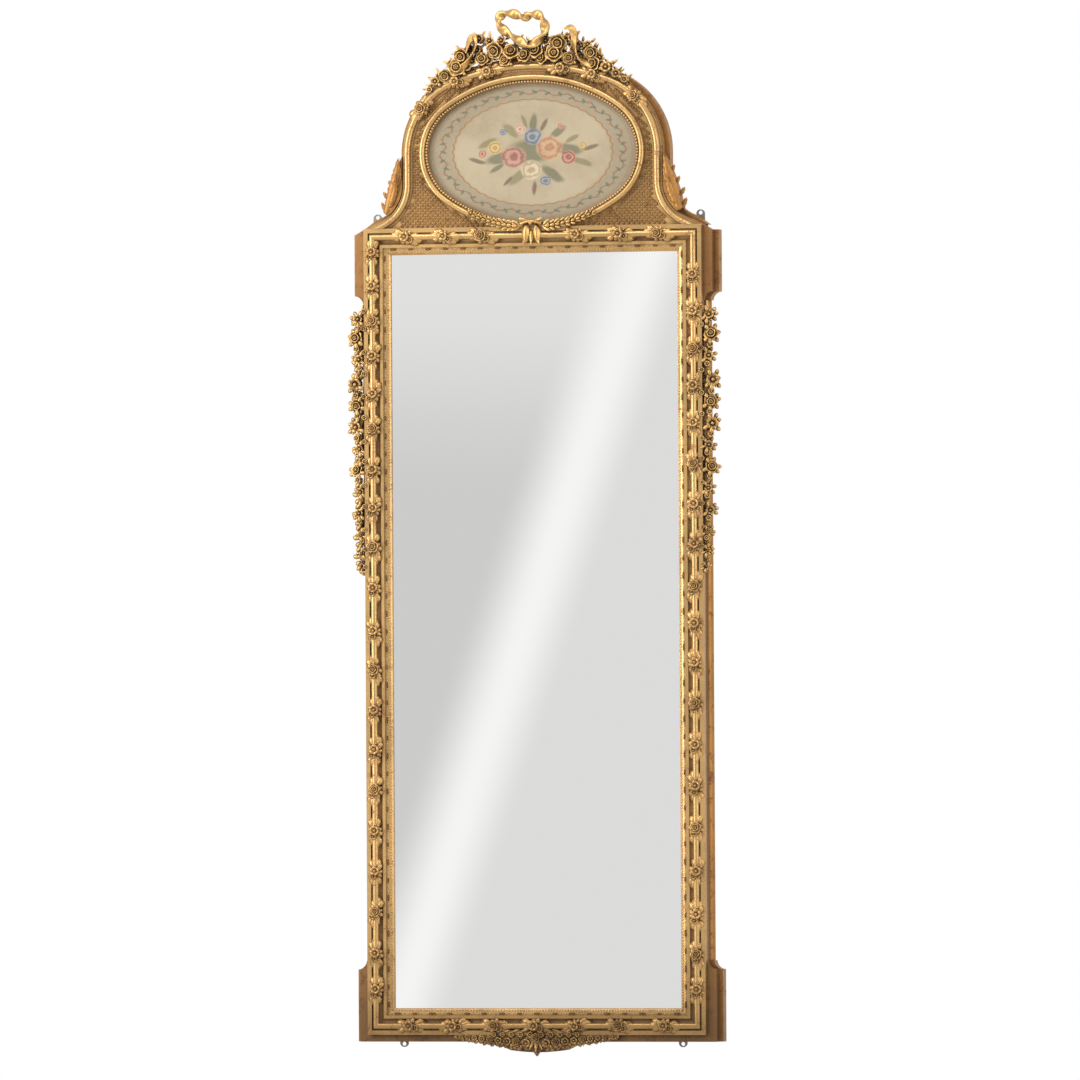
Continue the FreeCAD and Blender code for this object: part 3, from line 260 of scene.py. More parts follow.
def oval_painting():
    """A loose bunch of garden flowers on a cream ground, inside a band of small sprigs and a thin line."""
    finish = new_finish("painted_flowers")
    place = finish.place()
    drift = finish.noise(place, 22.0, 3.0, 0.6) - 0.5
    x, _, z = finish.axes(place)
    z_off = z - WAIST_Z * MM
    u, v = x + drift * 0.010, z_off + drift * 0.008
    long_share, high_share = x / ((OVAL_END + OVAL_END_R) * MM), z_off / ((OVAL_SIDE_R - OVAL_DOWN) * MM)
    out = (long_share * long_share + high_share * high_share).root()
    around = high_share.maths("ARCTAN2", long_share)
    wash = finish.noise(place, 7.0, 5.0, 0.6)
    wobble = finish.noise(place, 60.0, 3.0, 0.6)
    colour = finish.blend(wash.step(0.35, 0.7), paint(176, 161, 131), paint(160, 143, 113))
    colour = finish.blend(out.step(0.72, 0.80) * 0.55, colour, paint(136, 122, 98))

    def apart(across, up, wide, high, tilt=0):
        """How far a place lies from a spot, as a share of the spot's own half width and half height."""
        cosine, sine = math.cos(math.radians(tilt)), math.sin(math.radians(tilt))
        a = u * (cosine / wide) + v * (sine / wide) - (across * cosine + up * sine) / wide
        b = v * (cosine / high) - u * (sine / high) - (up * cosine - across * sine) / high
        return (a * a + b * b).root()

    green, moss, brown = paint(86, 90, 62), paint(118, 110, 68), paint(92, 64, 44)
    for across, up, wide, high, tilt, tone in (
        (-0.075, -0.012, 0.046, 0.016, 12, green), (0.082, 0.006, 0.046, 0.015, -8, green),
        (-0.034, -0.055, 0.040, 0.013, 38, moss), (0.047, -0.050, 0.038, 0.014, -34, green),
        (-0.108, 0.022, 0.030, 0.009, 24, moss), (0.118, -0.024, 0.030, 0.009, -22, moss),
        (0.002, 0.066, 0.028, 0.011, 84, green), (-0.052, 0.050, 0.028, 0.011, -42, moss),
        (0.060, 0.046, 0.028, 0.011, 36, green), (0.004, -0.082, 0.022, 0.006, 80, brown),
        (-0.006, 0.002, 0.066, 0.034, 0, green), (-0.132, -0.018, 0.026, 0.006, -14, brown),
        (0.138, 0.010, 0.026, 0.006, 16, brown), (-0.086, -0.036, 0.024, 0.007, 30, green),
        (0.094, 0.030, 0.024, 0.007, 28, moss), (0.026, 0.062, 0.020, 0.006, 62, brown),
        (-0.020, 0.072, 0.020, 0.006, 112, moss), (-0.060, -0.066, 0.018, 0.005, 46, brown),
    ):
        near = apart(across, up, wide, high, tilt)
        colour = finish.blend(near.step(1.0, 0.55) * 0.72, colour, tone)
    slate, ochre, madder = paint(84, 92, 108), paint(164, 124, 62), paint(142, 84, 72)
    pale_slate, pale_ochre = paint(142, 148, 152), paint(204, 176, 116)
    for across, up, radius, deep, light in (
        (-0.046, -0.010, 0.031, madder, paint(186, 142, 120)),
        (0.040, 0.010, 0.034, paint(164, 112, 78), paint(192, 156, 120)),
        (0.000, 0.036, 0.023, slate, paint(146, 150, 154)),
        (-0.004, -0.040, 0.026, paint(164, 138, 102), paint(202, 186, 156)),
        (0.086, -0.012, 0.019, paint(124, 66, 56), paint(190, 132, 112)),
        (-0.090, 0.012, 0.018, ochre, pale_ochre),
        (-0.030, 0.054, 0.014, paint(168, 120, 102), paint(210, 180, 158)),
        (0.030, -0.066, 0.014, slate, pale_slate),
        (0.118, 0.014, 0.011, ochre, pale_ochre),
        (-0.120, -0.002, 0.011, madder, paint(196, 142, 120)),
        (0.066, 0.058, 0.009, madder, paint(200, 150, 128)),
        (-0.070, 0.048, 0.009, slate, pale_slate),
    ):
        near = apart(across, up, radius, radius * 0.88)
        arcs = (near * 12.0 + wobble * 11.0).maths("SINE")
        tone = finish.blend(arcs.step(-1.1, 1.5), light, deep)
        tone = finish.blend(near.step(0.5, 0.0) * 0.6, tone, deep)
        colour = finish.blend(near.step(1.05, 0.78) * 0.9, colour, tone)
    sprig = (around * 22.0 + wobble * 1.6).maths("SINE")
    bead = (around * 44.0 + wobble * 2.0).maths("COSINE")
    off_band = out - 0.868
    garland = (off_band - sprig * 0.026).size().step(0.012, 0.003)
    leaves = (off_band + sprig * 0.030).size().step(0.030, 0.010) * bead.step(0.1, 0.75)
    buds = (off_band - sprig * 0.030).size().step(0.026, 0.010) * (bead * -1).step(0.55, 0.9)
    colour = finish.blend(garland * 0.75, colour, paint(100, 88, 56))
    colour = finish.blend(leaves * 0.8, colour, paint(96, 98, 72))
    colour = finish.blend(buds * 0.8, colour, paint(158, 112, 84))
    outer_line = (out - 0.955).size().step(0.006, 0.003)
    inner_line = (out - 0.765 - bead * 0.006).size().step(0.013, 0.005)
    colour = finish.blend(outer_line * 0.4 + inner_line * 0.8, colour, paint(150, 106, 60))
    crackle = finish.cells(place, 62.0, "DISTANCE_TO_EDGE").step(0.03, 0.0)
    colour = finish.blend(crackle * wash.step(0.45, 0.65) * 0.25, colour, paint(110, 88, 60))
    # Painted shade: the canvas darkens where it lies in the hollow under the oval moulding
    colour = finish.blend(finish.hollows(0.02).step(0.9, 0.35) * 0.5, colour, paint(96, 72, 44))
    threads = 5200.0
    weave = (x * threads).maths("SINE") * (z * threads).maths("SINE")
    normal = finish.bump(weave * 0.5 + wobble * 0.6 - crackle, 0.0003, 0.5)
    return finish.close(Base_Color=colour, Roughness=0.42 + wash * 0.15, Normal=normal)


GOLD = gilded(
    "worn_gilding", paint(208, 168, 110), paint(74, 42, 18), paint(132, 72, 38),
    rough=0.30, wear=0.3,
)
CARVED = gilded(
    "carved_gold", paint(214, 170, 104), paint(50, 27, 12), paint(118, 66, 34),
    rough=0.31, reach=0.013, depth=0.9, laps=False,
)
BUNCHED = gilded(
    "bunch_gilding", paint(206, 163, 102), paint(66, 38, 17), paint(124, 70, 37),
    rough=0.33, depth=0.7, laps=False,
)
# Painted shade: a dark gilding for the drops that stand for the hollows of the slip's slots
SLOT_SHADE = gilded("painted_slot_shade", paint(132, 94, 50), paint(60, 36, 18), paint(84, 50, 28), 0.4, 0.5, laps=False)
HOLLOW = gilded(
    "shaded_gilding", paint(206, 164, 104), paint(104, 68, 34), paint(132, 82, 44),
    0.72, 0.42, wear=0.4, laps=False,
)
EDGE = gilded(
    "thin_edge_gilding", paint(176, 126, 66), paint(62, 34, 16), paint(116, 62, 34),
    0.7, 0.42, wear=0.9,
)
EARS = gilded(
    "bronzed_ears", paint(160, 115, 66), paint(70, 38, 18), paint(120, 64, 34),
    0.62, 0.40, wear=0.7,
)
FEET = gilded("bronzed_feet", paint(148, 108, 62), paint(50, 32, 17), paint(98, 60, 33), 0.55, 0.42, wear=0.8)
CARCASS = old_wood("dry_pine", paint(150, 112, 74), paint(112, 78, 48), "z")
CARCASS_ACROSS = old_wood("dry_pine_rail", paint(146, 108, 70), paint(108, 74, 46), "x")
SLOT_FINISHES = {
    "carcass_wood": CARCASS, "case_gilding": EDGE, "ear_paint": EARS, "foot_paint": FEET, "gilding": GOLD,
    "carved_gilding": CARVED, "mirror_plate": mirror_finish(), "painted_canvas": oval_painting(),
    "steel": steel_finish(),
}
# Painted shade: the spandrel grounds, the apron's solid and the solids of the crest's leaves take darker
# gildings, standing for the shade behind the carving in front of them
NODE_FINISHES = {
    "left_spandrel_ground": HOLLOW, "right_spandrel_ground": HOLLOW, "apron_carving": FEET,
    "left_crest_leaf": EDGE, "right_crest_leaf": EDGE,
}
for name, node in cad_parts.items():
    slot_finish = SLOT_FINISHES[node.data.materials[0].name.split(".")[0]]
    if slot_finish is CARCASS and ("rail" in name or "backboard" in name):
        slot_finish = CARCASS_ACROSS
    node.material_slots[0].material = NODE_FINISHES.get(name, slot_finish)


# ---------------------------------------------------------------- modelling by hand
def deselect():
    if bpy.context.mode != "OBJECT":
        bpy.ops.object.mode_set(mode="OBJECT")
    bpy.ops.object.select_all(action="DESELECT")


def choose(*pieces):
    deselect()
    for piece in pieces:
        piece.select_set(True)
    bpy.context.view_layer.objects.active = pieces[0]


def edit(piece):
    choose(piece)
    bpy.ops.object.mode_set(mode="EDIT")
    bpy.ops.mesh.select_mode(type="VERT")
    bpy.ops.mesh.select_all(action="DESELECT")


def pick(piece, chosen):
    """Selects the vertices with the chosen numbers."""
    mesh = bmesh.from_edit_mesh(piece.data)
    for number, point in enumerate(mesh.verts):
        point.select_set(number in chosen)
    mesh.select_flush_mode()
    bmesh.update_edit_mesh(piece.data)


def shift(x, y, z):
    bpy.ops.transform.translate(value=(x, y, z))


def grow(x, y, z, around=(0, 0, 0)):
    bpy.ops.transform.resize(value=(x, y, z), center_override=around)


def reshape(piece, x, y, z):
    """Stretches the whole of a piece about the origin."""
    edit(piece)
    bpy.ops.mesh.select_all(action="SELECT")
    grow(x, y, z)
    bpy.ops.object.mode_set(mode="OBJECT")


def finish_with(piece, kind, **settings):
    choose(piece)
    modifier = piece.modifiers.new(kind.lower(), kind)
    for setting, value in settings.items():
        setattr(modifier, setting, value)
    bpy.ops.object.modifier_apply(modifier=modifier.name)


def smooth(piece, degrees=None):
    choose(piece)
    if degrees is None:
        bpy.ops.object.shade_smooth()
    else:
        bpy.ops.object.shade_smooth_by_angle(angle=math.radians(degrees))


def settle(piece):
    choose(piece)
    bpy.ops.object.transform_apply(location=True, rotation=True, scale=True)


def copy_of(model, matrix):
    """A copy with its own mesh, put in place in that mesh."""
    made = model.copy()
    made.data = model.data.copy()
    bpy.context.collection.objects.link(made)
    made.data.transform(matrix)
    return made


def turned(x=0, y=0, z=0, spin=0, lean=0, roll=0, size=1.0):
    """A form's place among other forms: leaned back, rolled about its length, spun, and then moved."""
    return (
        Matrix.Translation((x, y, z)) @ Matrix.Rotation(math.radians(spin), 4, "Z")
        @ Matrix.Rotation(math.radians(roll), 4, "Y") @ Matrix.Rotation(math.radians(lean), 4, "X")
        @ Matrix.Scale(size, 4)
    )


def spun(spin, out, up):
    """A place some way out from the middle in a direction, and up."""
    return Matrix.Rotation(math.radians(spin), 4, "Z") @ Matrix.Translation((0, out, up))


def stamp(model, x, level, z, spin=0, lean=0, roll=0, size=1.0):
    """A copy of a form on the frame, at a place in millimetres."""
    stand = Matrix.Translation((x * MM, -level * MM, z * MM)) @ Matrix.Rotation(math.radians(90), 4, "X")
    return copy_of(model, stand @ Matrix.Scale(MM, 4) @ turned(0, 0, 0, spin, lean, roll, size))


def unite(parts, name):
    choose(*parts)
    bpy.ops.object.join()
    made = bpy.context.object
    made.name = made.data.name = name
    return made


def discard(*models):
    for model in models:
        bpy.data.objects.remove(model)


def seat(piece, finish, slot, *nodes):
    """Gives a finished piece its material and its place on the frame."""
    piece.data.materials.clear()
    piece.data.materials.append(finish)
    for face in piece.data.polygons:
        face.material_index = 0
    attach(piece, "root")
    if nodes:
        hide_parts(*nodes)


def blade(name, length, rows, thick, across, levels):
    """A leaf or petal lying on its back from the origin along +y. A row is its half width, how far on its
    edges reach, and the heights of its edges and of its middle."""
    deselect()
    bpy.ops.mesh.primitive_grid_add(x_subdivisions=across, y_subdivisions=len(rows) - 1, size=2)
    piece = bpy.context.object
    piece.name = name
    edit(piece)
    places = [point.co.copy() for point in bmesh.from_edit_mesh(piece.data).verts]
    for number, (half, reach, edge, middle) in enumerate(rows):
        along = number / (len(rows) - 1)
        here = 2 * along - 1
        line = [i for i, place in enumerate(places) if abs(place.y - here) < 0.01]
        pick(piece, line)
        grow(half, 1, 1, (0, here, 0))
        shift(0, length * along - here, middle)
        for share, low, high in ((0.42, 0.1, 0.9), (1, 0.9, 1.1)):
            pick(piece, [i for i in line if low < abs(places[i].x) < high])
            shift(0, reach * share, (edge - middle) * share)
    bpy.ops.object.mode_set(mode="OBJECT")
    finish_with(piece, "SOLIDIFY", thickness=thick, offset=-1.0)
    if levels:
        finish_with(piece, "SUBSURF", levels=levels, render_levels=levels)
    smooth(piece)
    return piece


def pearl(name, radius, subdivisions, squash=1.0):
    deselect()
    bpy.ops.mesh.primitive_ico_sphere_add(subdivisions=subdivisions, radius=radius)
    piece = bpy.context.object
    piece.name = name
    reshape(piece, 1, 1, squash)
    smooth(piece)
    return piece


def ribbon(name, points, half_width, half_thick):
    """A ribbon along points of (x, y, z, turn), as a closed mesh in the flat frame."""
    deselect()
    bpy.ops.curve.primitive_nurbs_path_add()
    piece = bpy.context.object
    piece.name = name
    line = piece.data
    line.splines.clear()
    spline = line.splines.new("NURBS")
    spline.points.add(len(points) - 1)
    for point, (x, y, z, turn) in zip(spline.points, points):
        point.co, point.tilt = (x, y, z, 1), math.radians(turn)
    spline.order_u = 4
    spline.use_endpoint_u = True
    line.dimensions, line.resolution_u = "3D", 5
    line.twist_mode = "Z_UP"
    line.extrude, line.bevel_depth, line.bevel_resolution = half_width, half_thick, 2
    line.use_fill_caps = True
    choose(piece)
    bpy.ops.object.convert(target="MESH")
    piece = bpy.context.object
    edit(piece)
    bpy.ops.mesh.select_all(action="SELECT")
    bpy.ops.mesh.remove_doubles(threshold=0.01)
    bpy.ops.mesh.normals_make_consistent(inside=False)
    bpy.ops.object.mode_set(mode="OBJECT")
    smooth(piece, 50)
    return piece


# ---------------------------------------------------------------- the lines that the carving follows
def crown_z(x):
    return CROWN_Z + math.sqrt(CROWN_R ** 2 - x ** 2)


def along_arch(run, inset, side):
    """A place at a run down from the crown on a line set in from the crest's edge, and its heading."""
    crown, shoulder = CROWN_R - inset, SHOULDER_R - inset
    over_crown = crown * CROWN_TURN
    if run < over_crown:
        turn = run / crown
        x, z = crown * math.sin(turn), CROWN_Z + crown * math.cos(turn)
    else:
        turn = CROWN_TURN + (run - over_crown) / shoulder
        x, z = SHOULDER_X + shoulder * math.sin(turn), WAIST_Z + shoulder * math.cos(turn)
    return side * x, z, -side * math.degrees(turn)


def set_in(x, z):
    """How far a place lies inside the crest's edge."""
    x = abs(x)
    if z < SWEEP_Z:
        return math.hypot(x - SWEEP_X, z - SWEEP_Z) - SWEEP_R if x < SWEEP_X else -1
    if z < WAIST_Z:
        return WAIST - x
    if x / (z - CROWN_Z) < math.tan(CROWN_TURN):
        return CROWN_R - math.hypot(x, z - CROWN_Z)
    return SHOULDER_R - math.hypot(x - SHOULDER_X, z - WAIST_Z)


def off_oval(x, z):
    """How far a place lies outside the painted oval."""
    x, z = abs(x), abs(z - WAIST_Z)
    if (x - OVAL_END) * OVAL_DOWN > z * OVAL_END:
        return math.hypot(x - OVAL_END, z) - OVAL_END_R
    return math.hypot(x, z + OVAL_DOWN) - OVAL_SIDE_R


def round_oval(out, count):
    """Evenly spaced places on a line set out from the oval."""
    end, flat = OVAL_END_R + out, OVAL_SIDE_R + out
    corner = math.atan2(OVAL_DOWN, OVAL_END)
    quarter = end * corner + flat * (math.pi / 2 - corner)
    spots = []
    for number in range(count):
        part, rest = divmod(4 * quarter * (number + 0.5) / count, quarter)
        rest = quarter - rest if part % 2 else rest
        if rest < end * corner:
            turn = rest / end
            x, z = OVAL_END + end * math.cos(turn), end * math.sin(turn)
        else:
            turn = corner + (rest - end * corner) / flat
            x, z = flat * math.cos(turn), flat * math.sin(turn) - OVAL_DOWN
        spots.append((x if part in (0, 3) else -x, WAIST_Z + (z if part in (0, 1) else -z)))
    return spots


def way_off(spin, off):
    """How far right and up a place lies at a distance in a direction; 0 is up and 90 is to the left."""
    return -math.sin(math.radians(spin)) * off, math.cos(math.radians(spin)) * off


# ---------------------------------------------------------------- carved forms
PETAL = blade("petal", 10, [
    (1.8, 0, 0.4, 0), (4.8, 0, 2.2, 0.3), (6.2, -0.2, 3.4, 0.9), (5.4, -1.2, 3.0, 1.6), (2.6, -1.2, 2.0, 1.7),
], 1.1, 4, 1)
LITTLE_PETAL = blade("little_petal", 8, [
    (1.6, 0, 0.3, 0), (4.4, 0.4, 1.8, 0.2), (3.0, -1.0, 1.4, 0.8),
], 1.3, 2, 0)
BERRY = pearl("berry", 3.4, 2)
LITTLE_BERRY = pearl("little_berry", 3.0, 1)
CORE = pearl("core", 6.4, 2, 0.8)
LEAF = blade("leaf", 26, [
    (1.2, 0, 0, 1.0), (6.6, 2.4, 0.6, 2.2), (3.8, 0.2, -0.4, 1.6), (7.4, 3.0, 1.2, 3.2), (4.0, 0.4, 0.2, 2.6),
    (5.6, 2.6, 1.8, 3.6), (2.6, 0.6, 1.0, 2.6), (0.8, 0, 1.4, 1.8),
], 1.6, 4, 1)
LITTLE_LEAF = blade("little_leaf", 17, [
    (1.0, 0, 0, 0.8), (4.6, 0.8, 0.2, 1.8), (5.8, 1.2, 0.6, 2.3), (4.6, 1.0, 0.6, 2.1), (1.0, 0, 0.2, 0.8),
], 1.5, 2, 0)


def rose(name):
    parts = [copy_of(CORE, turned(z=-2.4))]
    rings = ((5, 10, 1.4, 1.0), (5, 40, 0.8, 0.82), (4, 64, 0.4, 0.6))
    for ring, (count, lean, out, size) in enumerate(rings):
        for number in range(count):
            spin = 360 * number / count + 31 * ring
            parts.append(copy_of(PETAL, spun(spin, out, ring * 0.9) @ turned(lean=lean, size=size)))
    parts.append(copy_of(BERRY, turned(z=4.2, size=0.62)))
    return unite(parts, name)


def daisy(name, petals):
    parts = [copy_of(CORE, turned(z=-2.6, size=0.8))]
    for number in range(petals):
        parts.append(copy_of(LITTLE_PETAL, spun(360 * number / petals, 1.4, 0) @ turned(lean=24)))
    parts.append(copy_of(LITTLE_BERRY, turned(z=2.2, size=0.9)))
    return unite(parts, name)


ROSE = rose("rose")
DAISY = daisy("daisy", 6)
FIVE = daisy("five_petals", 5)


def acanthus(name, length, lobes, wide, curl):
    """A long carved leaf whose lobes step up both edges, with its tip curled out."""
    rows = []
    for number in range(2 * lobes + 1):
        share = number / (2 * lobes)
        half = wide * (0.40 + 1.5 * share - 1.75 * share * share)
        lift = curl * share ** 3
        if number % 2:
            rows.append((half, length * 0.055, 0.6 + lift, 3.4 + lift))
        else:
            rows.append((half * 0.55, 0, -0.8 + lift, 2.6 + lift))
    rows.append((0.8, 0, 1.2 * curl, 1.25 * curl))
    return blade(name, length, rows, 2.2, 4, 1)


ACANTHUS = acanthus("acanthus", 60, 5, 14, 7)
SWEEP_LEAF = acanthus("sweep_leaf", 136, 8, 21, 6)


# ---------------------------------------------------------------- bunches on the reeds
def bunch(name, flower, second, turn):
    """A flower and a smaller one on a bed of leaves that hugs the reed and spreads over both its edges."""
    parts = [
        copy_of(flower, turned(0.5, 2, 3.0, lean=-6, size=1.12)),
        copy_of(second, turned(-4, -9, 1.2, lean=10, size=0.8)),
        copy_of(CORE, turned(0, 0, -2.4, size=1.45)),
    ]
    for number, (out, size, lean) in enumerate((
        (4, 0.95, -16), (3, 0.9, -22), (4, 0.85, -30), (5, 1.0, -16),
        (4, 0.95, -14), (3, 0.9, -22), (4, 0.8, -30), (5, 1.0, -14),
    )):
        parts.append(copy_of(LITTLE_LEAF, spun(turn + 45 * number, out, 0.6) @ turned(lean=lean, size=size)))
    for spin, out, size in (
        (0, 10, 1.4), (180, 11, 1.4), (22, 8, 1.2), (-20, 9, 1.2), (160, 9, 1.2), (201, 8, 1.2),
    ):
        parts.append(copy_of(LITTLE_LEAF, spun(spin, out, -0.6) @ turned(lean=-12, size=size)))
    for x, y in ((8, -7), (9, 6), (-8.5, 6.5), (2.5, 13.5)):
        parts.append(copy_of(LITTLE_BERRY, turned(x, y, 0.4, size=0.95)))
    return unite(parts, name)


BUNCHES = [
    bunch("bunch_a", DAISY, FIVE, 22), bunch("bunch_b", FIVE, DAISY, 4), bunch("bunch_c", ROSE, FIVE, 34),
]
SIDE_BUNCHES = {
    -1: (
        1819, 1740, 1660, 1579, 1492, 1411, 1317, 1228, 1138, 1044,
        945, 855, 763, 671, 579, 484, 391, 298, 202, 119,
    ),
    1: (
        1757, 1673, 1587, 1502, 1417, 1323, 1231, 1139, 1042, 957,
        867, 773, 679, 584, 488, 389, 290, 198, 118,
    ),
}
TOP_BUNCHES = (-300, -208, -118, 107, 209, 301)
LOW_BUNCHES = (-300, -196, -98, -2, 94, 197, 305)
REED_LEVEL, REED_X, TOP_REED_Z, LOW_REED_Z = 69, 382, 1854, 36
ARCH_REED_LEVEL, ARCH_REED_IN = 67, 15


def reed_bunches(name, places):
    """Bunches on a reed, each turned a little its own way. A place is x, level, z and the reed's heading."""
    made = []
    for number, (x, level, z, spin) in enumerate(places):
        model = BUNCHES[number % 3]
        turn, size = chance.uniform(-14, 14), chance.uniform(1.10, 1.24)
        made.append(stamp(model, x, level, z, spin + turn, size=size))
    seat(unite(made, name), BUNCHED, "gilding")


for side, word in ((-1, "left"), (1, "right")):
    reed_bunches(f"{word}_reed_bunches", [(side * REED_X, REED_LEVEL, z, 0) for z in SIDE_BUNCHES[side]])
reed_bunches("top_reed_bunches", [(x, REED_LEVEL, TOP_REED_Z, 90) for x in TOP_BUNCHES])
reed_bunches("bottom_reed_bunches", [(x, REED_LEVEL, LOW_REED_Z, 90) for x in LOW_BUNCHES])
arch_places = []
for side, runs in ((-1, (102, 182, 286)), (1, (74, 150, 262))):
    for run in runs:
        x, z, heading = along_arch(run, ARCH_REED_IN, side)
        arch_places.append((x, ARCH_REED_LEVEL, z, heading + 90))
reed_bunches("arch_reed_bunches", arch_places)

# ---------------------------------------------------------------- the carved slip round the glass
SLIP_LEAF = blade("slip_leaf", 14, [
    (0.8, 0, 0, 0.6), (2.4, 0.6, 0.2, 1.7), (2.2, 0.6, 0.2, 1.6), (0.6, 0, 0, 0.6),
], 1.2, 2, 0)
SLIP_BEAD = pearl("slip_bead", 2.7, 1)
deselect()
bpy.ops.mesh.primitive_torus_add(major_segments=12, minor_segments=4, major_radius=3.4, minor_radius=0.9)
SLIP_RIM = bpy.context.object
reshape(SLIP_RIM, 0.86, 2.9, 1.3)
smooth(SLIP_RIM)
# The drop, dark in its finish, is painted shade standing for a slot's hollow
SLIP_DROP = pearl("slip_drop", 2.0, 1)
reshape(SLIP_DROP, 1.25, 4.5, 0.45)


def round_sight(out, pitch):
    """Evenly spaced places on a line set out from the sight edge, each with the way out and its number."""
    spots = []
    wide, high = SIGHT_WIDE + out, SIGHT_HIGH + out
    for half, reach, turns in ((high, wide, (0, 180)), (wide, high, (90, -90))):
        count = round(2 * half / pitch)
        for number in range(count):
            along = -half + (number + 0.5) * 2 * half / count
            for turn in turns:
                side = 1 if turn in (0, 90) else -1
                spot = (side * reach, SIGHT_Z + along) if half is high else (along, SIGHT_Z + side * reach)
                spots.append((*spot, turn, number))
    return spots


beads = [stamp(SLIP_BEAD, x, 54.2, z) for x, z, _, _ in round_sight(5.4, 6.6)]
# Each slot is a gilded rim round a dark drop: the drop is painted shade for the slot's hollow
rims, slot_shades = [], []
for x, z, turn, number in round_sight(12.4, 41.2):
    size = 0.8 if number % 2 else 1.0
    rims.append(stamp(SLIP_RIM, x, 57.4, z, turn, roll=-16, size=size))
    slot_shades.append(stamp(SLIP_DROP, x, 57.7, z, turn, roll=-16, size=size))
    for end in (-1, 1):
        ahead = Matrix.Rotation(math.radians(turn), 4, "Z") @ Vector((0, end * 9, 0))
        spin = turn + (0 if end > 0 else 180)
        rims.append(stamp(SLIP_LEAF, x + ahead.x, 57.0, z + ahead.y, spin, roll=-16 * end, size=0.8))
seat(unite(beads + rims, "slip_carving"), GOLD, "gilding")
seat(unite(slot_shades, "slip_slot_shade"), SLOT_SHADE, "gilding")
discard(SLIP_LEAF, SLIP_BEAD, SLIP_RIM, SLIP_DROP)

# ---------------------------------------------------------------- pearls and diaper
PEARL = pearl("pearl", 3.5, 2)
strings = [stamp(PEARL, x, 61.4, z) for x, z in round_oval(3.6, 186)]
seat(unite(strings, "oval_pearls"), GOLD, "gilding")

deselect()
bpy.ops.mesh.primitive_cylinder_add(vertices=4, radius=4.5, depth=1.2)
DIAMOND = bpy.context.object
edit(DIAMOND)
pick(DIAMOND, [point.index for point in bmesh.from_edit_mesh(DIAMOND.data).verts if point.co.z > 0])
bpy.ops.mesh.inset(thickness=0.9, depth=1.5)
bpy.ops.mesh.inset(thickness=0.9, depth=-0.9)
bpy.ops.mesh.inset(thickness=0.5, depth=1.0)
bpy.ops.object.mode_set(mode="OBJECT")
diaper = []
PITCH, GROUND_Z, ARCH_BAND, OVAL_BAND = 6.0, 1880, 29.5, 24.0
for row in range(62):
    for column in range(-52, 53):
        x, z = column * PITCH, GROUND_Z + row * PITCH
        if (row + column) % 2 == 0 and set_in(x, z) > ARCH_BAND and off_oval(x, z) > OVAL_BAND:
            spin, lean, roll = chance.uniform(-7, 7), chance.uniform(-5, 5), chance.uniform(-5, 5)
            diaper.append(stamp(DIAMOND, x, 54.9, z, spin, lean, roll))
seat(unite(diaper, "spandrel_diaper"), GOLD, "carved_gilding")

# ---------------------------------------------------------------- the clasp and laurels at the oval's foot
lobe = blade("lobe", 34, [
    (3.0, 0, -1, 2.0), (7.4, 1.0, 0, 5.4), (8.6, 1.6, 0, 6.6), (8.0, 1.6, 0, 6.2),
    (5.6, 1.4, 0, 5.0), (1.6, 0, 0, 2.4),
], 3.0, 4, 2)
band = ribbon("clasp_band", [
    (-24, -4, -3, 0), (-15, 0, 0, 0), (0, 2.4, 1, 0), (15, 0, 0, 0), (24, -4, -3, 0),
], 2.0, 2.8)
clasp = []
for side in (-1, 1):
    clasp.append(stamp(lobe, side * 11, 70, 1881, 180 + side * 5, lean=-3, size=1.36))
    clasp.append(stamp(ACANTHUS, side * 9, 70, 1858, 180 + side * 24, size=0.5))
    clasp.append(stamp(LEAF, side * 8, 73, 1884, side * -66, lean=6, size=0.85))
    clasp.append(stamp(BERRY, side * 21, 73, 1880, size=1.1))
clasp.append(stamp(BERRY, 0, 77, 1882, size=1.3))
clasp.append(stamp(ACANTHUS, 0, 71, 1864, 180, size=0.56))
clasp.append(stamp(band, 0, 76, 1884))
seat(unite(clasp, "oval_clasp_carving"), CARVED, "carved_gilding", "oval_clasp")
discard(lobe, band)

LAUREL_R, LAUREL_Z = 354, 2227.9


def under_oval(x):
    return LAUREL_Z - math.sqrt(LAUREL_R ** 2 - x ** 2)


for side, word in ((-1, "left"), (1, "right")):
    spray = []
    for number in range(10):
        x = 27 + number * 12.6
        z = under_oval(x)
        size = 0.86 - 0.032 * number
        heading = math.degrees(math.asin(x / LAUREL_R)) - 90
        for fan in (-34, 32):
            spin = side * (heading + fan + chance.uniform(-8, 8))
            spray.append(stamp(LEAF, side * x, 71.5, z, spin, 4, 0, size))
        spray.append(stamp(LITTLE_LEAF, side * (x + 4), 74.5, z, side * heading, 8, 0, size))
        if number % 2:
            spray.append(stamp(BERRY, side * (x + 2), 75.5, z + 4, size=0.9))
    stem = ribbon("laurel_stem", [(side * x, under_oval(x), 0, 0) for x in (20, 52, 84, 116, 148)], 0.6, 1.3)
    spray.append(stamp(stem, 0, 71.6, 0))
    discard(stem)
    seat(unite(spray, f"{word}_laurel_leaves"), CARVED, "carved_gilding", f"{word}_laurel")

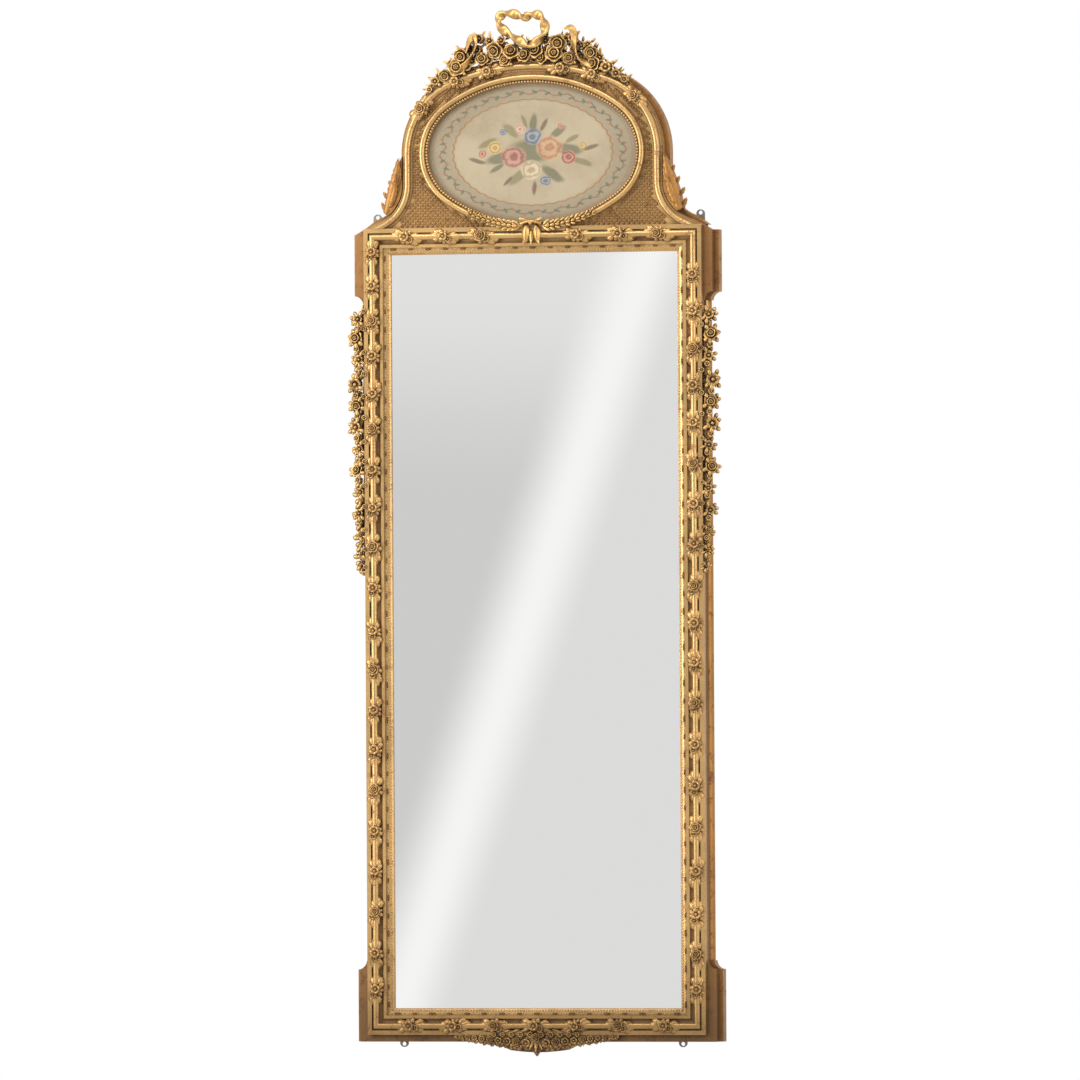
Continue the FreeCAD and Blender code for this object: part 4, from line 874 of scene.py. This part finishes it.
# ---------------------------------------------------------------- leaves on the outside of the sweeps
for side, word in ((-1, "left"), (1, "right")):
    parts = [
        stamp(SWEEP_LEAF, side * 350, 59, 1906, side * 16, lean=2, roll=side * 8),
        stamp(SWEEP_LEAF, side * 338, 58, 1912, side * 9, lean=1, roll=side * 4, size=0.92),
        stamp(ACANTHUS, side * 340, 61, 1922, side * 18, lean=2, roll=side * 10, size=1.15),
        stamp(ACANTHUS, side * 320, 60, 1972, side * 6, lean=2, roll=side * 14, size=0.95),
    ]
    for x, z, spin, size in (
        (354, 1912, -20, 1.0), (346, 1938, -30, 1.0), (336, 1964, -26, 0.95), (327, 1992, -20, 0.85),
    ):
        parts.append(stamp(LEAF, side * x, 45, z, side * spin, roll=side * 24, size=size))
        parts.append(stamp(BERRY, side * (x - 6), 57, z + 6, size=0.9))
    seat(unite(parts, f"{word}_sweep_acanthus"), EDGE, "carved_gilding")

# ---------------------------------------------------------------- the bow and ribbons over the crest
BOW_X, BOW_Z = -3, 2258
BOW_LINE = [
    (-3, 30), (-22, 44), (-46, 58), (-66, 74), (-74, 92), (-62, 107), (-40, 108), (-18, 99),
    (-8, 96), (4, 103), (22, 105), (36, 92), (42, 72), (34, 50), (14, 34), (-4, 28),
]
bow = ribbon("bow", [
    (BOW_X + x, BOW_Z + z, 0, 20 + 96 * number) for number, (x, z) in enumerate(BOW_LINE)
], 6.6, 5.0)
seat(unite([stamp(bow, 0, 74.2, 0)], "crest_bow_ribbon"), CARVED, "carved_gilding", "crest_bow")
discard(bow)

# A bloom's distance along the crest and up from its edge, in centimetres, and its size: the large ones, which
# the solids hold as balls, and the small ones between them
BLOOMS = {
    "crest_flowers": [
        (-8.4, 3, 2.4), (-4.6, 2, 2.2), (-1.4, 1, 2), (1.4, 2, 2.2), (5.6, 1.6, 2.4), (6.6, 4.2, 2.4),
        (-12.2, 6.4, 1.4), (-12.8, 4, 1.5), (-11.6, 1.6, 1.8), (10, 5.8, 1.4), (10.4, 3.4, 1.5),
        (9.2, 1, 1.8),
        (2.8, 0.4, 1.8), (-6, 0.4, 1.8),
    ],
    "left_crest_spray": [
        (-16.4, 3.8, 2.2), (-17.6, 1.4, 2.4), (-20.4, 0.8, 1.8), (-22.8, 0.6, 1.4), (-24.2, -0.6, 1),
    ],
    "right_crest_spray": [(14.4, 3.4, 1.9), (15, 1, 2), (17.8, 1, 1.7), (20.2, 0.5, 1.4), (22.2, 0, 1.1)],
}
MORE = {
    "crest_flowers": [
        (-10, 1, 1.4), (-7, 5, 1.3), (-3, 4, 1.3), (0, 3.4, 1.3), (3.6, 4.4, 1.4), (8.6, 5, 1.3),
        (7.6, 0.6, 1.5),
        (12, 1.8, 1.4), (-9.8, 5.4, 1.3), (-14, 1.8, 1.4), (12, 4.4, 1.2), (4, 2.4, 1.3),
    ],
    "left_crest_spray": [(-14.6, 4.6, 1.4), (-15.2, 1, 1.5), (-19, 2.8, 1.3), (-21.8, 1.4, 1.1)],
    "right_crest_spray": [(12.9, 0.8, 1.3), (16.4, 2.8, 1.4), (18.8, 1.8, 1.1), (13.6, 5, 1.2)],
}
for label, blooms in BLOOMS.items():
    parts = []
    for along, up, radius in MORE[label]:
        x = along * 10
        z = crown_z(x) + up * 10
        model = chance.choice((DAISY, FIVE))
        parts.append(stamp(model, x, 63, z, chance.uniform(0, 70), -6, 0, radius * 0.95))
        for leaf in range(3):
            spin = chance.uniform(-40, 40) + 120 * leaf - along * 2
            dx, dz = way_off(spin, radius * 6)
            parts.append(stamp(LEAF, x + dx, 58, z + dz, spin, chance.uniform(-20, 8), 0, 0.62))
    for along, up, radius in blooms:
        spin = -along * 3.2 + chance.uniform(-30, 30)
        x = along * 10
        z = crown_z(x) + up * 10
        parts.append(stamp(ACANTHUS, x, 54, z, spin, chance.uniform(0, 10), 0, 0.24 + radius * 0.11))
        size = 0.2 + radius * 0.10
        for fan in (-64, 58):
            parts.append(stamp(ACANTHUS, x, 50, z - radius * 2, spin + fan, chance.uniform(-6, 4), 0, size))
    for number, (along, up, radius) in enumerate(blooms):
        x = along * 10
        z = crown_z(x) + up * 10
        model = ROSE if radius > 1.7 else DAISY
        spin, lean, roll = chance.uniform(0, 70), chance.uniform(-22, 10), chance.uniform(-16, 16)
        parts.append(stamp(model, x, 66, z, spin, lean, roll, radius * 10 / 11.5))
        parts.append(stamp(CORE, x, 55, z, size=radius * 1.3))
        for leaf in range(4):
            spin = chance.uniform(-20, 20) + 90 * leaf + 45
            dx, dz = way_off(spin, radius * 5.5)
            lean, size = chance.uniform(-24, 4), 0.34 + radius * 0.16
            parts.append(stamp(LEAF, x + dx, 60, z + dz, spin, lean, 0, size))
        if number % 2:
            parts.append(stamp(BERRY, x + radius * 8, 70, z - radius * 6, size=1.2))
    seat(unite(parts, f"{label}_carved"), CARVED, "carved_gilding", label)
streamers = []
for name, points in (
    ("left_streamer", [
        (-152, 2276, 0, 10), (-148, 2300, 3, 50), (-132, 2322, 4, 90), (-128, 2292, 2, 140),
        (-140, 2262, 0, 190),
        (-160, 2240, 0, 240), (-186, 2230, 0, 280),
    ]),
    ("right_streamer", [
        (84, 2328, 0, 10), (98, 2336, 3, 50), (108, 2316, 4, 90), (104, 2292, 2, 130), (110, 2264, 0, 170),
        (126, 2250, 0, 220), (150, 2240, 0, 260),
    ]),
):
    loop = ribbon(name, points, 6.2, 2.0)
    streamers.append(stamp(loop, 0, 72, 0))
    discard(loop)
seat(unite(streamers, "crest_streamers"), CARVED, "carved_gilding")

# ---------------------------------------------------------------- garlands below the ears
# A bloom's share of the way down, how far it stands off and its size
GARLAND_TOP, GARLAND_LONG, GARLAND_X = 1684.7, 622, 401.3
GARLAND = [
    (0.03, 0.3, 1.5), (0.1, 0.6, 1.8), (0.18, 0.2, 1.4), (0.27, 0.8, 1.9), (0.35, 0.5, 1.7), (0.43, 0.7, 1.8),
    (0.51, 0.2, 1.3), (0.59, 0.6, 1.6), (0.67, 0.2, 1.2), (0.75, 0.5, 1.3), (0.83, 0.2, 1), (0.9, 0.3, 0.85),
    (0.96, 0.1, 0.6),
]
for side, word in ((-1, "left"), (1, "right")):
    parts = []
    vine = ribbon(f"{word}_vine", [
        (side * (409 + 3.5 * math.sin(step * 1.3)), 1699 - step * 44.6, 0, step * 40) for step in range(15)
    ], 1.6, 2.6)
    parts.append(stamp(vine, 0, 46, 0))
    discard(vine)
    for number, (share, out, radius) in enumerate(GARLAND):
        z = GARLAND_TOP - share * GARLAND_LONG
        x = GARLAND_X + (radius + out) * 9
        model = (DAISY, ROSE, FIVE)[number % 3]
        lean, roll = chance.uniform(-14, 14), side * chance.uniform(4, 22)
        parts.append(stamp(model, side * x, 57, z, chance.uniform(0, 60), lean, roll, radius * 0.95))
        parts.append(stamp(CORE, side * (x - 1), 48, z, size=radius * 1.2))
        parts.append(stamp(FIVE, side * (x - 2), 62, z - radius * 14, 20, 0, side * 8, 0.5 + radius * 0.22))
        parts.append(stamp(DAISY, side * 402, 67, z + radius * 12, 50, 0, side * -6, 0.42 + radius * 0.18))
        size = 0.46 + radius * 0.26
        for leaf, heading in enumerate((30, 80, 130, 185, 235, -25)):
            spin = heading + chance.uniform(-14, 14)
            dx, dz = way_off(-spin, radius * 5.2)
            reach = min(x + dx, 444 - 17 * size * max(0, math.sin(math.radians(spin))))
            level = 52 + 2 * leaf if dx > 0 else 66
            lean = chance.uniform(-14, 4)
            parts.append(stamp(LITTLE_LEAF, side * reach, level, z + dz, -side * spin, lean, 0, size))
        parts.append(stamp(BERRY, side * (x + radius * 4), 60, z - radius * 8, size=0.9))
        if number == len(GARLAND) - 1:
            break
        for drop, tilt in (
            (7, 120), (10, -110), (14, 60), (17, -60), (18, -34), (22, 44), (24, 24), (27, -52),
            (31, -22), (35, 30),
        ):
            size, x_off = 0.85 + radius * 0.18, 407 - 0.1 * tilt
            parts.append(stamp(LITTLE_LEAF, side * x_off, 55, z - drop, 180 + tilt, -6, 0, size))
        parts.append(stamp(FIVE, side * (x - 4), 58, z - 20, 20 * number, size=0.55 + 0.12 * radius))
    seat(unite(parts, f"{word}_garland_carved"), CARVED, "carved_gilding", f"{word}_garland")

# ---------------------------------------------------------------- the apron's carving
APRON = 64
parts = []
for number in range(-3, 4):
    off = abs(number)
    size = 0.60 - 0.03 * off
    parts.append(stamp(ACANTHUS, number * 2.4, APRON + 5 - off, 10, 180 + number * 25, size=size))
parts.append(stamp(ROSE, 0, APRON + 9, 9, size=1.05))
parts.append(stamp(LEAF, 0, APRON - 4, -12, 180, size=0.8))
for number in range(3):
    parts.append(stamp(BERRY, 0, APRON + 2, -25 + 6 * number, size=0.9 + 0.15 * number))
for side in (-1, 1):
    for number, (x, z, size) in enumerate((
        (24, -3, 1.0), (47, -1, 0.92), (69, 1, 0.88), (90, 3, 0.82), (110, 5, 0.76), (129, 7, 0.7),
        (147, 9, 0.62),
        (163, 11, 0.54), (178, 12, 0.46),
    )):
        flower = (FIVE, ROSE, DAISY)[number % 3]
        full = size * (1.15 if flower is ROSE else 1.25)
        parts.append(stamp(flower, side * x, APRON + 3, z, side * 20 * number, size=full))
        for fan in (-128, -92, -52, 60, 128, 180):
            spin = side * fan + chance.uniform(-9, 9)
            parts.append(stamp(ACANTHUS, side * x, APRON - 1, z, spin, chance.uniform(-2, 6), 0, 0.36 * size))
        for fan in (-150, -110, -70, 40, 96, 152):
            spin = side * fan + chance.uniform(-12, 12)
            place = side * (x + 9)
            parts.append(stamp(LITTLE_LEAF, place, APRON, z + 1, spin, chance.uniform(-4, 8), 0, 1.25 * size))
        parts.append(stamp(BERRY, side * (x + 11), APRON + 3, z - 7 * size, size=1.4 * size))
        parts.append(stamp(DAISY, side * (x - 11), APRON + 1, z - 8 * size, side * 30, size=0.72 * size))
        if x < 120:
            parts.append(stamp(ACANTHUS, side * (x - 10), 68, 25 - 0.05 * x, side * 70, -4, 0, 0.42 * size))
            parts.append(stamp(FIVE, side * (x - 11), 71, 17, side * 33, size=0.85 * size))
seat(unite(parts, "apron_scroll_carving"), CARVED, "carved_gilding")

discard(
    PETAL, LITTLE_PETAL, BERRY, LITTLE_BERRY, CORE, LEAF, LITTLE_LEAF, ROSE, DAISY, FIVE, ACANTHUS,
    SWEEP_LEAF,
    *BUNCHES, PEARL, DIAMOND,
)

# ---------------------------------------------------------------- floor, card, lights and camera
FLOOR = -0.2


def seen_rays(finish):
    """1 for the rays of the camera, of gloss and through glass."""
    made = finish.node("ShaderNodeLightPath", {}, {})
    kinds = ("Is Camera Ray", "Is Glossy Ray", "Is Transmission Ray")
    camera, gloss, glass = [Value(finish, made.outputs[kind]) for kind in kinds]
    return camera.most(gloss).most(glass)


deselect()
bpy.ops.mesh.primitive_plane_add(size=60, location=(0, 0, FLOOR))
floor = bpy.context.object
floor.name = "studio_floor"
settle(floor)
finish = new_finish("pale_floor")
seen = seen_rays(finish)
x, y, _ = finish.axes(finish.place())
far_off = (x * x + y * y).root().step(0.6, 2.6)
glow = finish.add("ShaderNodeEmission", {}, {"Color": (1, 1, 1, 1), "Strength": 1.0})
matt = finish.add("ShaderNodeBsdfDiffuse", {}, {"Color": (0.86, 0.86, 0.85, 1)})
mixed = finish.add("ShaderNodeMixShader", {}, {0: seen * (0.72 + far_off * 0.28), 1: matt, 2: glow})
finish.node("ShaderNodeOutputMaterial", {}, {"Surface": mixed})
floor.data.materials.append(finish.owner)

# A grey card before the glass, with the bright slanting band that the glass shows. Across and up are measured
# as the camera sees the card in the glass.
CARD_Y, CARD_SHIFT, CARD_DROP, CARD_SCALE = -3.2, 0.8515, 0.1286, 1.0617
BAND_X, BAND_Z, BAND_SLOPE, BAND_LEFT, BAND_RIGHT = 0.2786, 1.784, 0.348, 0.178, 0.155
RIGHT_GREY, LEFT_GREY, LOW_LEFT_GREY, BAND_GREY, SILVER = 0.708, 0.745, 0.597, 0.90, 0.93
deselect()
bpy.ops.mesh.primitive_plane_add(size=1, location=(0, 0, 0))
card = bpy.context.object
card.name = "reflected_card"
reshape(card, 3.3, 3.5, 1)
card.data.transform(Matrix.Translation((0, CARD_Y, 1.25)) @ Matrix.Rotation(math.radians(-90), 4, "X"))
finish = new_finish("grey_card")
x, _, z = finish.axes(finish.place())
across, up = (x + CARD_SHIFT) * CARD_SCALE, z * CARD_SCALE - CARD_DROP
off = across - BAND_X + (BAND_Z - up) * BAND_SLOPE
left_side = off.step(0.02, -0.02)
near = (off * (1 / BAND_LEFT) + 1).step(0.0, 1.0).least((off * (-1 / BAND_RIGHT) + 1).step(0.0, 1.0))
lower = (1.85 - up).step(0.0, 0.6)
base = RIGHT_GREY + left_side * (LEFT_GREY - RIGHT_GREY) - left_side * lower * (LEFT_GREY - LOW_LEFT_GREY)
level = (base + near * (BAND_GREY - base)) / SILVER
glow = finish.add("ShaderNodeEmission", {}, {"Color": level, "Strength": 1.0})
finish.node("ShaderNodeOutputMaterial", {}, {"Surface": glow})
card.data.materials.append(finish.owner)
card.visible_camera = card.visible_diffuse = card.visible_shadow = card.visible_transmission = False

world = bpy.data.worlds.new("studio")
bpy.context.scene.world = world
sky = Finish(world)
level = seen_rays(sky) * 0.42 + 0.58
back = sky.add("ShaderNodeBackground", {}, {"Color": (1, 1, 1, 1), "Strength": level})
sky.node("ShaderNodeOutputWorld", {}, {"Surface": back})


def softbox(name, place, aim, wide, high, power):
    """A soft lamp of a size in metres and a power in watts, turned towards its aim."""
    lamp = bpy.data.lights.new(name, "AREA")
    lamp.shape, lamp.size, lamp.size_y, lamp.energy = "RECTANGLE", wide, high, power
    held = bpy.data.objects.new(name, lamp)
    bpy.context.collection.objects.link(held)
    held.location = place
    held.rotation_euler = (Vector(aim) - Vector(place)).to_track_quat("-Z", "Y").to_euler()


softbox("left_softbox", (-3.1, -2.4, 1.9), (0, 0, 1.4), 1.6, 2.8, 95)
softbox("right_softbox", (3.4, -2.2, 1.8), (0, 0, 1.4), 1.2, 2.6, 34)
softbox("top_softbox", (-0.4, -1.9, 4.2), (0, 0, 1.6), 2.6, 1.2, 46)

AZIMUTH, ELEVATION, DISTANCE, ROLL = math.radians(15), math.radians(-0.8), 30.0, math.radians(-0.33)
AIM = Vector((0.012, -0.052, 1.153))
camera = bpy.data.objects.new("camera", bpy.data.cameras.new("camera"))
bpy.context.collection.objects.link(camera)
camera.data.sensor_width, camera.data.lens = 36, 435
camera.data.clip_end = 200
level = math.cos(ELEVATION)
way = Vector((math.sin(AZIMUTH) * level, -math.cos(AZIMUTH) * level, math.sin(ELEVATION)))
camera.location = AIM + way * DISTANCE
held = way.to_track_quat("Z", "Y").to_matrix().to_4x4() @ Matrix.Rotation(ROLL, 4, "Z")
camera.rotation_euler = held.to_euler()
bpy.context.scene.camera = camera
bpy.context.scene.view_settings.view_transform = "Standard"

deselect()
